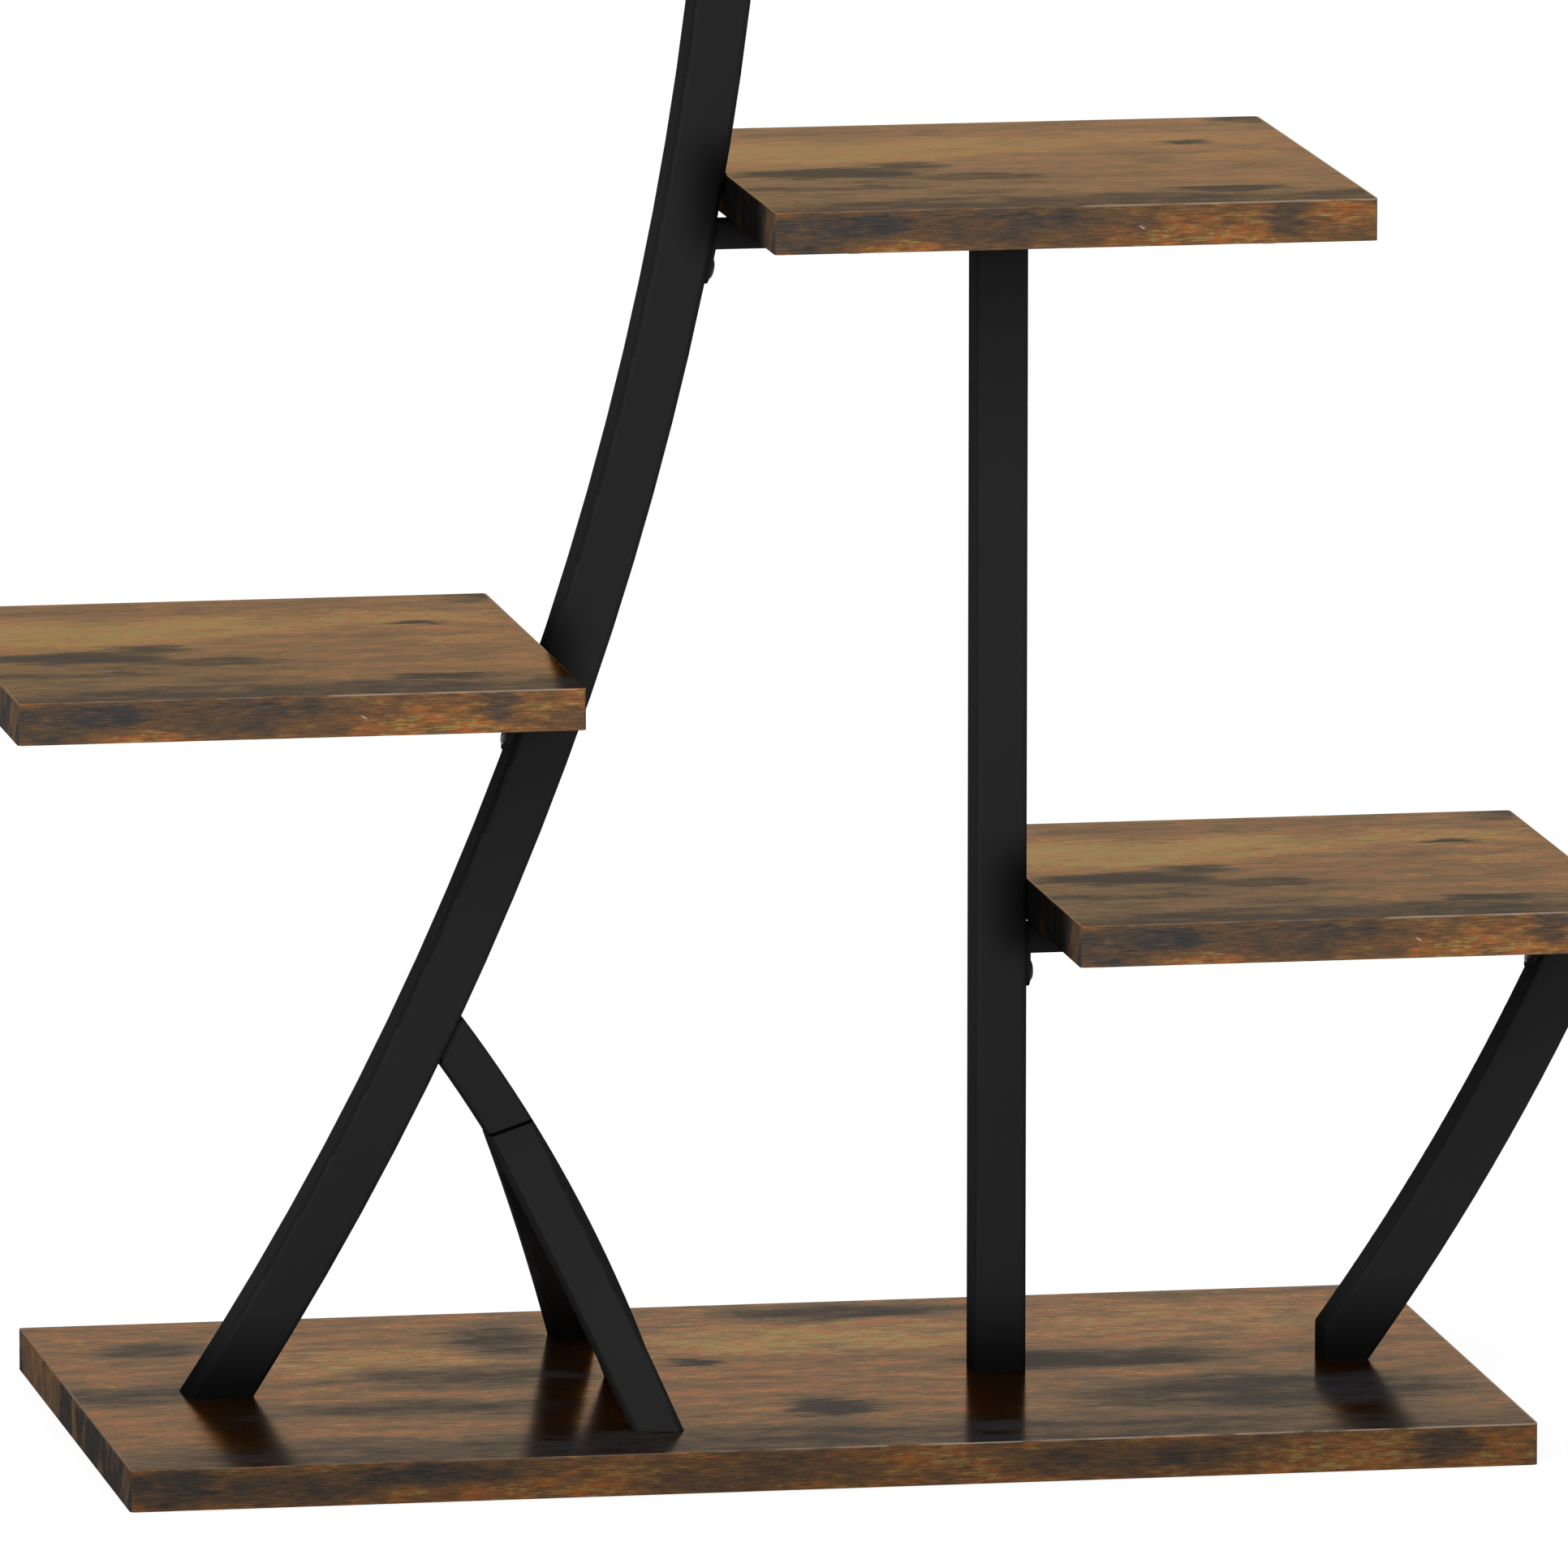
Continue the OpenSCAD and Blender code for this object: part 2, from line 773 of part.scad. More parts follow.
// Room round the stem, the post and the right leg that the boards are notched for
module tube_room() {
    bow(stem_centre, stem_bend_r, -40, 40)
        square([bow_w + 2 * notch_gap, tube_d + 2 * notch_gap], center = true);
    bow(leg_centre, leg_bend_r, -50, -10)
        square([bow_w + 2 * notch_gap, tube_d + 2 * notch_gap], center = true);
}

// Middles of a shelf's two straps, left to right
function strap_places(shelf) = [shelf[0] + strap_inset, shelf[1] - strap_inset];

// Places of a shelf's four wood screws, on the strap's underside
module at_board_screws(shelf) {
    for (x = strap_places(shelf), y = [-1, 1] * (strap_l / 2 - strap_w / 2))
        translate([x, y, rail_top(shelf)])
            children();
}

module shelf_core(shelf) {
    color(wood)
        difference() {
            translate([(shelf[0] + shelf[1]) / 2, 0, shelf[2]])
                linear_extrude(board_t)
                    core_outline(shelf[1] - shelf[0], shelf_d);
            tube_room();
            at_board_screws(shelf)
                cylinder(h = wood_screw_l + 0.5, r = wood_screw_r + thread_gap, $fn = round_fn);
        }
}

module shelf_band(shelf) {
    color(band_colour)
        difference() {
            translate([(shelf[0] + shelf[1]) / 2, 0, shelf[2]])
                linear_extrude(board_t)
                    difference() {
                        board_outline(shelf[1] - shelf[0], shelf_d);
                        core_outline(shelf[1] - shelf[0], shelf_d);
                    }
            tube_room();
        }
}

module shelf_straps(shelf) {
    color(steel)
        difference() {
            for (x = strap_places(shelf))
                translate([x, 0, rail_top(shelf)])
                    linear_extrude(strap_t)
                        rounded(strap_w, strap_l, strap_w / 4);
            at_board_screws(shelf)
                translate([0, 0, -1])
                    cylinder(h = strap_t + 2, r = wood_screw_r + pass_gap, $fn = round_fn);
        }
}

// Hollow rail between two places along X
module rail_bar(shelf, from_x, to_x) {
    translate([from_x, 0, rail_bottom(shelf) + rail_h / 2])
        rotate([90, 0, 90])
            linear_extrude(to_x - from_x)
                difference() {
                    rounded(rail_d, rail_h, 1.5);
                    rounded(rail_d - 2 * tube_wall, rail_h - 2 * tube_wall, 0.4);
                }
}

// Everything behind the outer face of an end plate, in the plate's frame
module behind_plate() {
    translate([seat_gap + plate_t - far, -far / 2, -far / 2])
        cube([far, far, far]);
}

// Plate on a rail's end: as deep as the rail above, round below its screw
module end_plate() {
    translate([seat_gap, 0, 0])
        rotate([90, 0, 90])
            linear_extrude(plate_t)
                difference() {
                    union() {
                        circle(rail_d / 2, $fn = round_fn);
                        translate([-rail_d / 2, 0])
                            square([rail_d, far]);
                    }
                    circle(plate_screw_r + pass_gap, $fn = round_fn);
                }
}

// Cuts end plates off level with the rail's top
module under_rail_top(shelf) {
    intersection() {
        slab(-far, rail_top(shelf));
        children();
    }
}

module low_right_board() {
    shelf_core(low_right);
}

module low_right_edge_band() {
    shelf_band(low_right);
}

module low_right_rail() {
    color(steel)
        difference() {
            rail_bar(low_right, post_x, low_right_end);
            on_post(low_right)
                behind_plate();
            on_leg(low_right)
                behind_plate();
        }
}

module low_right_end_plates() {
    color(steel)
        under_rail_top(low_right) {
            on_post(low_right)
                end_plate();
            on_leg(low_right)
                end_plate();
        }
}

module low_right_straps() {
    shelf_straps(low_right);
}

// Rail and plate of a shelf that hangs on the stem's left side
module left_rail(shelf) {
    color(steel)
        difference() {
            rail_bar(shelf, shelf[0] + rail_inset, shelf[1] + bow_w);
            on_stem_left(shelf)
                behind_plate();
        }
}

module left_plate(shelf) {
    color(steel)
        under_rail_top(shelf)
            on_stem_left(shelf)
                end_plate();
}

// Rail and plate of a shelf on the stem's right side
module right_rail(shelf) {
    color(steel)
        difference() {
            rail_bar(shelf, shelf[0] - bow_w, shelf[1] - rail_inset);
            on_stem_right(shelf)
                behind_plate();
        }
}

module right_plate(shelf) {
    color(steel)
        under_rail_top(shelf)
            on_stem_right(shelf)
                end_plate();
}

module low_left_board() {
    shelf_core(low_left);
}

module low_left_edge_band() {
    shelf_band(low_left);
}

module low_left_rail() {
    left_rail(low_left);
}

module low_left_end_plate() {
    left_plate(low_left);
}

module low_left_straps() {
    shelf_straps(low_left);
}

module mid_right_board() {
    shelf_core(mid_right);
}

module mid_right_edge_band() {
    shelf_band(mid_right);
}

// This rail also rests on the post, with a hole for the screw that goes down into it
module mid_right_rail() {
    color(steel)
        difference() {
            right_rail(mid_right);
            translate([post_x, 0, rail_bottom(mid_right) - 1])
                cylinder(h = rail_h + 2, r = plate_screw_r + pass_gap, $fn = round_fn);
        }
}

module mid_right_end_plate() {
    right_plate(mid_right);
}

module mid_right_straps() {
    shelf_straps(mid_right);
}

module mid_left_board() {
    shelf_core(mid_left);
}

module mid_left_edge_band() {
    shelf_band(mid_left);
}

module mid_left_rail() {
    left_rail(mid_left);
}

module mid_left_end_plate() {
    left_plate(mid_left);
}

module mid_left_straps() {
    shelf_straps(mid_left);
}

module high_right_board() {
    shelf_core(high_right);
}

module high_right_edge_band() {
    shelf_band(high_right);
}

module high_right_rail() {
    right_rail(high_right);
}

module high_right_end_plate() {
    right_plate(high_right);
}

module high_right_straps() {
    shelf_straps(high_right);
}

module high_left_board() {
    shelf_core(high_left);
}

module high_left_edge_band() {
    shelf_band(high_left);
}

module high_left_rail() {
    left_rail(high_left);
}

module high_left_end_plate() {
    left_plate(high_left);
}

module high_left_straps() {
    shelf_straps(high_left);
}

// Every place where an end plate is screwed to a tube
module at_plate_screws() {
    on_post(low_right)
        children();
    on_leg(low_right)
        children();
    for (shelf = left_shelves)
        on_stem_left(shelf)
            children();
    for (shelf = right_shelves)
        on_stem_right(shelf)
            children();
}

module plate_screws() {
    color(steel)
        at_plate_screws()
            translate([seat_gap + plate_t, 0, 0])
                rotate([0, -90, 0])
                    button_screw(plate_screw_r, plate_screw_l, plate_head_r, plate_head_h);
}

// Nuts welded inside the tubes behind each end plate
module plate_nuts() {
    color(zinc)
        at_plate_screws()
            translate([-tube_wall - thread_gap, 0, 0])
                rotate([0, -90, 0])
                    difference() {
                        hex(nut_af, nut_t);
                        translate([0, 0, -1])
                            cylinder(h = nut_t + 2, r = plate_screw_r + thread_gap, $fn = round_fn);
                    }
}

// Wood screws up through the straps into the shelves
module board_screws() {
    color(zinc)
        for (shelf = shelves)
            at_board_screws(shelf)
                difference() {
                    union() {
                        cylinder(h = wood_screw_l, r = wood_screw_r, $fn = round_fn);
                        translate([0, 0, -wood_head_h])
                            cylinder(h = wood_head_h, r1 = wood_head_r * 0.8, r2 = wood_head_r, $fn = round_fn);
                    }
                    for (turn = [0, 90])
                        rotate([0, 0, turn])
                            translate([-wood_head_r / 2, -0.4, -wood_head_h - 1])
                                cube([wood_head_r, 0.8, wood_head_h / 2 + 1]);
                }
}

// Plastic cap in a rail's free end; the rim faces local -X
module rail_cap() {
    rotate([90, 0, 90]) {
        translate([0, 0, -cap_t / 2])
            linear_extrude(cap_t / 2)
                rounded(rail_d, rail_h, 1.5);
        linear_extrude(cap_plug_l)
            rounded(rail_d - 2 * (tube_wall + slide_gap), rail_h - 2 * (tube_wall + slide_gap), 0.5);
    }
}

module rail_caps() {
    color(plastic) {
        for (shelf = left_shelves)
            translate([shelf[0] + rail_inset, 0, rail_bottom(shelf) + rail_h / 2])
                rail_cap();
        for (shelf = right_shelves)
            translate([shelf[1] - rail_inset, 0, rail_bottom(shelf) + rail_h / 2])
                mirror([1, 0, 0])
                    rail_cap();
    }
}

base_board();
base_edge_band();
base_bolts();
base_washers();
foot_plates();
stem_lower();
stem_upper();
stem_sleeve();
stem_sleeve_screws();
stem_cap();
post();
post_top_plug();
post_screw();
right_leg();
right_leg_cap();
brace_bow();
brace_top_plug();
brace_stud();
brace_stud_nut();
brace_front_leg();
brace_rear_leg();
low_right_board();
low_right_edge_band();
low_right_rail();
low_right_end_plates();
low_right_straps();
low_left_board();
low_left_edge_band();
low_left_rail();
low_left_end_plate();
low_left_straps();
mid_right_board();
mid_right_edge_band();
mid_right_rail();
mid_right_end_plate();
mid_right_straps();
mid_left_board();
mid_left_edge_band();
mid_left_rail();
mid_left_end_plate();
mid_left_straps();
high_right_board();
high_right_edge_band();
high_right_rail();
high_right_end_plate();
high_right_straps();
high_left_board();
high_left_edge_band();
high_left_rail();
high_left_end_plate();
high_left_straps();
plate_screws();
plate_nuts();
board_screws();
rail_caps();
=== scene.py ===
import json
import math

import bmesh
import bpy
from bpy.props import FloatProperty, FloatVectorProperty, PointerProperty
from bpy.types import Operator, Panel, PropertyGroup
from mathutils import Matrix, Vector


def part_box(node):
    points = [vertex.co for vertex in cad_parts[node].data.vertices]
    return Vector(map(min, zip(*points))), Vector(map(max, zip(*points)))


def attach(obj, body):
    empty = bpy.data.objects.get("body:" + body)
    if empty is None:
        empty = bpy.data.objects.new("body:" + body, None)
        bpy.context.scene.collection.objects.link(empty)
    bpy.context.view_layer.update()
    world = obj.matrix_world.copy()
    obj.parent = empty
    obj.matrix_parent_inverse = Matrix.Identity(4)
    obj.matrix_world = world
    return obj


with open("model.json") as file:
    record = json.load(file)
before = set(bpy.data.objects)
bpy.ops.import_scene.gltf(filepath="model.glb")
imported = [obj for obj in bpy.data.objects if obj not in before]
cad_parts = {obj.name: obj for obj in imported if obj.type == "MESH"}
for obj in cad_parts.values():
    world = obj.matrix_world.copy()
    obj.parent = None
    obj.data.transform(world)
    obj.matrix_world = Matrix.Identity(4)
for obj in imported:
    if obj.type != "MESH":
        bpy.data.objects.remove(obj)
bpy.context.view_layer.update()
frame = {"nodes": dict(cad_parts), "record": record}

bl_info = {
    "name": "Half-moon plant stand finishes",
    "version": (1, 0, 0),
    "blender": (4, 5, 0),
    "location": "3D View > Sidebar > Plant Stand",
    "description": "Dresses the plant stand's boards, tubes and fasteners, and sets up a plain studio",
    "category": "Object",
}

NODES = frame["nodes"]
SLOTS = {part["node"]: part["material_slot"] for part in frame["record"]["subparts"]}
SHELVES = ("low_right", "low_left", "mid_right", "mid_left", "high_right", "high_left")


def millimetres(value):
    return value / 1000.0


# Streaks of a fixed size: length, width and offset in the noise. The pulls tear the edges of the patches

LONG_PULL = (millimetres(30), millimetres(3.5), 3.7)
SHORT_PULL = (millimetres(8), millimetres(1.2), 9.1)
CROSS_PULL = (millimetres(45), millimetres(14), 5.3)
PORES = (millimetres(5), millimetres(0.4), 21.0)
END_CLOUD = (millimetres(40), millimetres(12), 4.4)
EDGE_WEAR_AND_HIGHLIGHT = (millimetres(20), millimetres(500), 1.9)

# How far the pulls reach, along and across. The last number is a share of the band's height

TOP_REACH = (millimetres(10), millimetres(7))
BAND_REACH = (millimetres(8), 0.10)

# Grain layers: shares of the streak's length and width, offset in the noise, weight in the laminate's tone

TONE_LAYERS = {
    "blotch": (1.00, 1.000, 0.0, 1.05),
    "shred": (0.33, 0.200, 2.3, 0.65),
    "fibre": (0.25, 0.045, 6.1, 0.70),
    "fleck": (0.12, 0.170, 17.2, 0.45),
}
HUE_LAYER = (0.50, 0.300, 12.4)
OCHRE_LIFT = 0.30
RUST_DROP = 0.16
DARK_DROP = 0.64

# How the laminate's tone and noise become colour. Limits are where a change starts and where it is complete

WARM_LIMITS = (-0.16, 0.34)
CHARCOAL_LIMITS = (0.06, -0.66)
OCHRE_LIMITS = (0.05, 0.55)
OCHRE_PATCH_SHARE = 0.62
HUE_SWING = 5.6
MEAN_BROWN = (0.145, 0.080, 0.038)
FIBRE_LIMITS = (0.34, 0.64)
FIBRE_SHADES = (0.80, 1.16)
PORE_LIMITS = (0.34, 0.27)
PORE_STRENGTH = 0.55
PORE_SHADE = 0.6
BROWN_FADE = 0.13
CHARCOAL_FADE = 0.84
CHARCOAL_FADE_LIMITS = (-0.06, -0.60)
LAMINATE_BUMP = (0.035, millimetres(0.2))
CHIPBOARD_EDGE = (millimetres(0.4), millimetres(0.6))
FLAKES_IN_A_METRE = (520.0, 520.0, 1300.0)

# Edge bands: how they differ from the faces, and the marks that the photograph shows on them

FACE_LIMITS = (0.70, 0.72)
SIDE_GRAIN_OFFSET = 0.7
END_GRAIN_OFFSET = 1.3
END_GRAIN_STRETCH = 0.4
END_CLOUD_LIMITS = (0.46, 0.58)
# A band's shade scales its colour; the base's lower one is painted shade
BASE_BAND_SHADE = 0.75
SHELF_BAND_SHADE = 1.20
BAND_CONTRAST = 0.36
END_LEVEL = -0.10
END_GLOSS = 0.12
TUBE_SHADE = 0.12
TUBE_END_LIMITS = (0.3, 0.2)
TUBE_MIDDLE_LIMITS = (0.49, 0.3)
# The pale upper edge line is partly a worn edge and partly a painted highlight, fuller towards the right
EDGE_LINE_LIMITS = (0.955, 0.985)
EDGE_WEAR_AND_HIGHLIGHT_LIMITS = (0.35, 0.55)
EDGE_LINE_FADE = (0.35, 0.6)
EDGE_LINE_ON_LEFT = 0.25
EDGE_LINE_STRENGTH = 0.55
EDGE_LINE_COLOUR = (0.42, 0.36, 0.30)
NICK_PLACE = (0.608, 0.45)
NICK_HALF_SIZE = (millimetres(1.2), millimetres(0.4))
NICK_SLANT = 0.55
NICK_STRENGTH = 0.8

# The tops mirror like lacquer at a shallow angle and are satin from above; the limits are of Layer Weight

FACING_LIMITS = (0.74, 0.80)
SATIN_GLOSS = 0.25

# Shade on the powder coat: where a board comes near, along the corners, and in the brace's joints

BASE_SHADE_REACH = millimetres(38)
SHELF_SHADE_REACH = millimetres(24)
CONTACT_SHADE = 0.85
CORNER_SHADE = 0.3
CORNER_START = (0.20, 0.40)
CORNER_END = (0.75, 0.55)
JOINT_LINE_LIMITS = (millimetres(0.75), millimetres(0.45))
SHADE_COLOUR = (0.002, 0.002, 0.002)
COAT_EDGE_TINT = (0.4, 0.4, 0.4)
COAT_BUMP = (0.05, millimetres(0.05))
COAT_TONE_SCALE = 14.0

# Black oxide on the screws: two close greys

OXIDE_DARK = (0.012, 0.012, 0.013)
OXIDE_LIGHT = (0.026, 0.026, 0.028)

# Straps under the shelves, and the beads on them

STRAP_WIDTH = millimetres(20)
BEAD_END_GAP = millimetres(1.5)
BEAD_INSET = 0.35
BEAD_SIDES = 10
BEAD_STEP = 0.35
BEAD_RIPPLE = 0.10
BEAD_RIPPLE_TURNS = 5.2
BEAD_BLUNTNESS = 0.15

# Studio

FLOOR_HALF_WIDTH = 30.0
FLOOR_DROP = millimetres(0.2)
FLOOR_GREY = 0.86
FLOOR_GLOW = 1.12
FLOOR_GLOW_SHARE = 0.78
KEY_PLACE = (-1.6, -3.2, 2.2)
KEY_TARGET = (0.0, 0.0, 0.5)
KEY_SIZE = (2.4, 2.4)

# Sockets of the Mix node that take the first and second value and give the result

COLOUR_SOCKETS = (6, 7, 2)
VECTOR_SOCKETS = (4, 5, 1)

# Prints: a patch is its kind, middle, half size and strength, in shares of the face from its left front

SHELF_TOP_PRINT = (
    ("ochre", (0.17, 0.68), (0.32, 0.15), 1.0),
    ("ochre", (0.47, 0.73), (0.22, 0.10), 0.9),
    ("ochre", (0.80, 0.76), (0.20, 0.09), 0.6),
    ("ochre", (0.86, 0.55), (0.12, 0.05), 0.4),
    ("dark", (0.17, 0.44), (0.18, 0.065), 1.0),
    ("dark", (0.32, 0.51), (0.07, 0.045), 0.7),
    ("dark", (0.40, 0.36), (0.13, 0.06), 0.65),
    ("dark", (0.12, 0.27), (0.24, 0.035), 0.6),
    ("dark", (0.27, 0.11), (0.08, 0.025), 0.7),
    ("dark", (0.50, 0.00), (0.75, 0.15), 0.75),
    ("dark", (0.18, 0.20), (0.42, 0.26), 0.28),
    ("dark", (0.60, 0.08), (0.15, 0.05), 0.7),
    ("dark", (0.78, 0.17), (0.10, 0.035), 1.0),
    ("dark", (0.97, 0.08), (0.12, 0.05), 0.8),
    ("dark", (0.823, 0.718), (0.05, 0.02), 1.3),
    ("dark", (0.98, 0.98), (0.08, 0.06), 0.8),
    ("rust", (0.73, 0.545), (0.06, 0.07), 0.8),
    ("rust", (0.87, 0.41), (0.06, 0.07), 0.9),
    ("rust", (0.52, 0.37), (0.12, 0.07), 0.7),
    ("rust", (0.28, 0.92), (0.18, 0.06), 0.8),
    ("rust", (0.60, 0.92), (0.15, 0.05), 0.8),
)

BASE_TOP_PRINT = (
    ("ochre", (0.55, 0.74), (0.15, 0.11), 0.7),
    ("ochre", (0.22, 0.68), (0.11, 0.11), 0.5),
    ("ochre", (0.84, 0.80), (0.16, 0.13), 0.4),
    ("dark", (0.08, 0.81), (0.045, 0.05), 0.7),
    ("dark", (0.33, 0.80), (0.035, 0.12), 0.7),
    ("dark", (0.59, 0.92), (0.09, 0.06), 0.8),
    ("dark", (0.29, 0.56), (0.10, 0.08), 0.6),
    ("dark", (0.23, 0.35), (0.12, 0.06), 0.6),
    ("dark", (0.04, 0.50), (0.07, 0.07), 0.6),
    ("dark", (0.20, 0.05), (0.25, 0.10), 0.5),
    ("dark", (0.455, 0.61), (0.02, 0.016), 1.2),
    ("dark", (0.52, 0.27), (0.035, 0.06), 1.0),
    ("dark", (0.74, 0.54), (0.10, 0.07), 0.9),
    ("dark", (0.84, 0.28), (0.15, 0.14), 0.75),
    ("dark", (0.50, 0.04), (0.60, 0.13), 0.6),
    ("rust", (0.66, 0.60), (0.05, 0.06), 0.7),
    ("rust", (0.12, 0.60), (0.06, 0.08), 0.6),
    ("rust", (0.93, 0.55), (0.05, 0.10), 0.6),
)

SHELF_FRONT_PRINT = (
    ("dark", (0.17, 0.65), (0.08, 0.35), 0.85),
    ("dark", (0.05, 0.45), (0.10, 0.60), 0.65),
    ("dark", (0.36, 0.55), (0.22, 0.55), 0.50),
    ("dark", (0.55, 0.45), (0.10, 0.45), 0.25),
    ("dark", (0.85, 0.65), (0.035, 0.45), 0.55),
    ("dark", (0.98, 0.30), (0.04, 0.35), 0.15),
    ("ochre", (0.22, 0.12), (0.04, 0.14), 0.3),
    ("ochre", (0.68, 0.50), (0.09, 0.45), 0.15),
    ("ochre", (0.78, 0.40), (0.06, 0.35), 0.2),
    ("ochre", (0.94, 0.50), (0.05, 0.40), 0.1),
)

BASE_FRONT_PRINT = (
    ("dark", (0.03, 0.55), (0.040, 0.50), 0.7),
    ("dark", (0.21, 0.65), (0.08, 0.28), 0.6),
    ("dark", (0.11, 0.40), (0.06, 0.45), 0.60),
    ("dark", (0.44, 0.50), (0.08, 0.55), 0.35),
    ("dark", (0.71, 0.50), (0.09, 0.45), 0.6),
    ("dark", (0.935, 0.60), (0.025, 0.40), 0.6),
    ("ochre", (0.355, 0.45), (0.04, 0.25), 0.2),
    ("ochre", (0.585, 0.55), (0.03, 0.30), 0.3),
    ("ochre", (0.85, 0.50), (0.06, 0.45), 0.3),
)


# Settings that a user would change

class StandBoardSettings(PropertyGroup):
    brown: FloatVectorProperty(
        name="Brown", description="Ground colour of the laminate", subtype="COLOR",
        default=(0.082, 0.041, 0.019), min=0, max=1)
    orange: FloatVectorProperty(
        name="Orange", description="Warm streaks of the laminate", subtype="COLOR",
        default=(0.500, 0.118, 0.014), min=0, max=1)
    ochre: FloatVectorProperty(
        name="Ochre", description="Pale bands of the laminate", subtype="COLOR",
        default=(0.410, 0.320, 0.085), min=0, max=1)
    rust: FloatVectorProperty(
        name="Rust", description="Reddish patches of the laminate", subtype="COLOR",
        default=(0.120, 0.046, 0.020), min=0, max=1)
    dark: FloatVectorProperty(
        name="Charcoal", description="Blue-grey patches of the laminate", subtype="COLOR",
        default=(0.032, 0.039, 0.047), min=0, max=1)
    band_dark: FloatVectorProperty(
        name="Band charcoal", description="Grey-brown patches of the edge bands", subtype="COLOR",
        default=(0.040, 0.038, 0.036), min=0, max=1)
    chip: FloatVectorProperty(
        name="Chipboard", description="Raw chipboard in holes and recesses", subtype="COLOR",
        default=(0.42, 0.30, 0.18), min=0, max=1)
    roughness: FloatProperty(
        name="Roughness", description="Roughness of the laminate's lacquered skin",
        default=0.15, min=0, max=1)
    gloss: FloatProperty(
        name="Gloss", description="How strongly the warm parts mirror their surroundings",
        default=1.0, min=0, max=1)
    dark_gloss: FloatProperty(
        name="Dark gloss", description="How strongly the charcoal parts mirror their surroundings",
        default=0.3, min=0, max=1)
    low_tint: FloatVectorProperty(
        name="Low mirror tint", description="Tint of what a board at the floor mirrors at a shallow angle",
        subtype="COLOR", default=(0.550, 0.468, 0.386), min=0, max=1)
    high_tint: FloatVectorProperty(
        name="High mirror tint", description="Tint of what a high board mirrors at a shallow angle",
        subtype="COLOR", default=(0.49, 0.33, 0.175), min=0, max=1)
    streak_length: FloatProperty(
        name="Streak length", description="Length of the grain's blotches", unit="LENGTH",
        default=millimetres(36), min=0.005)
    streak_width: FloatProperty(
        name="Streak width", description="Width of the grain's blotches", unit="LENGTH",
        default=millimetres(12), min=0.0005)


class StandSteelSettings(PropertyGroup):
    colour: FloatVectorProperty(
        name="Powder coat", description="Colour of the powder-coated steel", subtype="COLOR",
        default=(0.0200, 0.0200, 0.0205), min=0, max=1)
    roughness: FloatProperty(
        name="Roughness", description="Roughness of the powder coat", default=0.5, min=0, max=1)
    sheen: FloatProperty(
        name="Sheen", description="How strongly the powder coat mirrors its surroundings at a shallow angle",
        default=0.07, min=0, max=1)
    joint_tilt: FloatProperty(
        name="Joint tilt", description="Lean of the dark line where the brace's legs branch off",
        unit="ROTATION", default=math.radians(18.5))
    zinc: FloatVectorProperty(
        name="Zinc", description="Colour of zinc-plated pieces", subtype="COLOR",
        default=(0.52, 0.53, 0.55), min=0, max=1)
    plastic: FloatVectorProperty(
        name="Caps", description="Colour of the plastic caps", subtype="COLOR",
        default=(0.014, 0.014, 0.014), min=0, max=1)
    bead: FloatProperty(
        name="Weld bead", description="Radius of the weld beads under the shelves", unit="LENGTH",
        default=millimetres(1.1), min=0.0002)


class StandStudioSettings(PropertyGroup):
    azimuth: FloatProperty(
        name="Azimuth", description="Direction of the camera round the stand", unit="ROTATION",
        default=math.radians(-10.181))
    elevation: FloatProperty(
        name="Elevation", description="Height of the camera above level", unit="ROTATION",
        default=math.radians(9.474))
    roll: FloatProperty(
        name="Roll", description="Turn of the camera about its line of sight", unit="ROTATION",
        default=math.radians(0.049))
    distance: FloatProperty(
        name="Distance", description="Distance of the camera from its target", unit="LENGTH",
        default=8.8032, min=1)
    target: FloatVectorProperty(
        name="Target", description="Point that the camera was aimed from", subtype="TRANSLATION",
        default=(0.0, 0.0, 0.29455))
    pan: FloatVectorProperty(
        name="Pan", description="Sideways and upward offset of the camera", size=2,
        default=(0.0050, -0.04807))
    lens: FloatProperty(name="Lens", description="Focal length in millimetres", default=529.83, min=10)
    sky: FloatProperty(name="Sky", description="Light from all round", default=0.75, min=0)
    key: FloatProperty(name="Key", description="Power of the large front light in watts", default=60, min=0)


# Shader building

def new_group(name, inputs, outputs):
    """Makes an empty node group with named sockets; each input is a socket kind, a name and a default."""
    group = bpy.data.node_groups.new(name, "ShaderNodeTree")
    for kind, label, value in inputs:
        socket = group.interface.new_socket(name=label, in_out="INPUT", socket_type=kind)
        socket.default_value = value
    for kind, label in outputs:
        group.interface.new_socket(name=label, in_out="OUTPUT", socket_type=kind)
    source = group.nodes.new("NodeGroupInput")
    sink = group.nodes.new("NodeGroupOutput")
    return group, source, sink


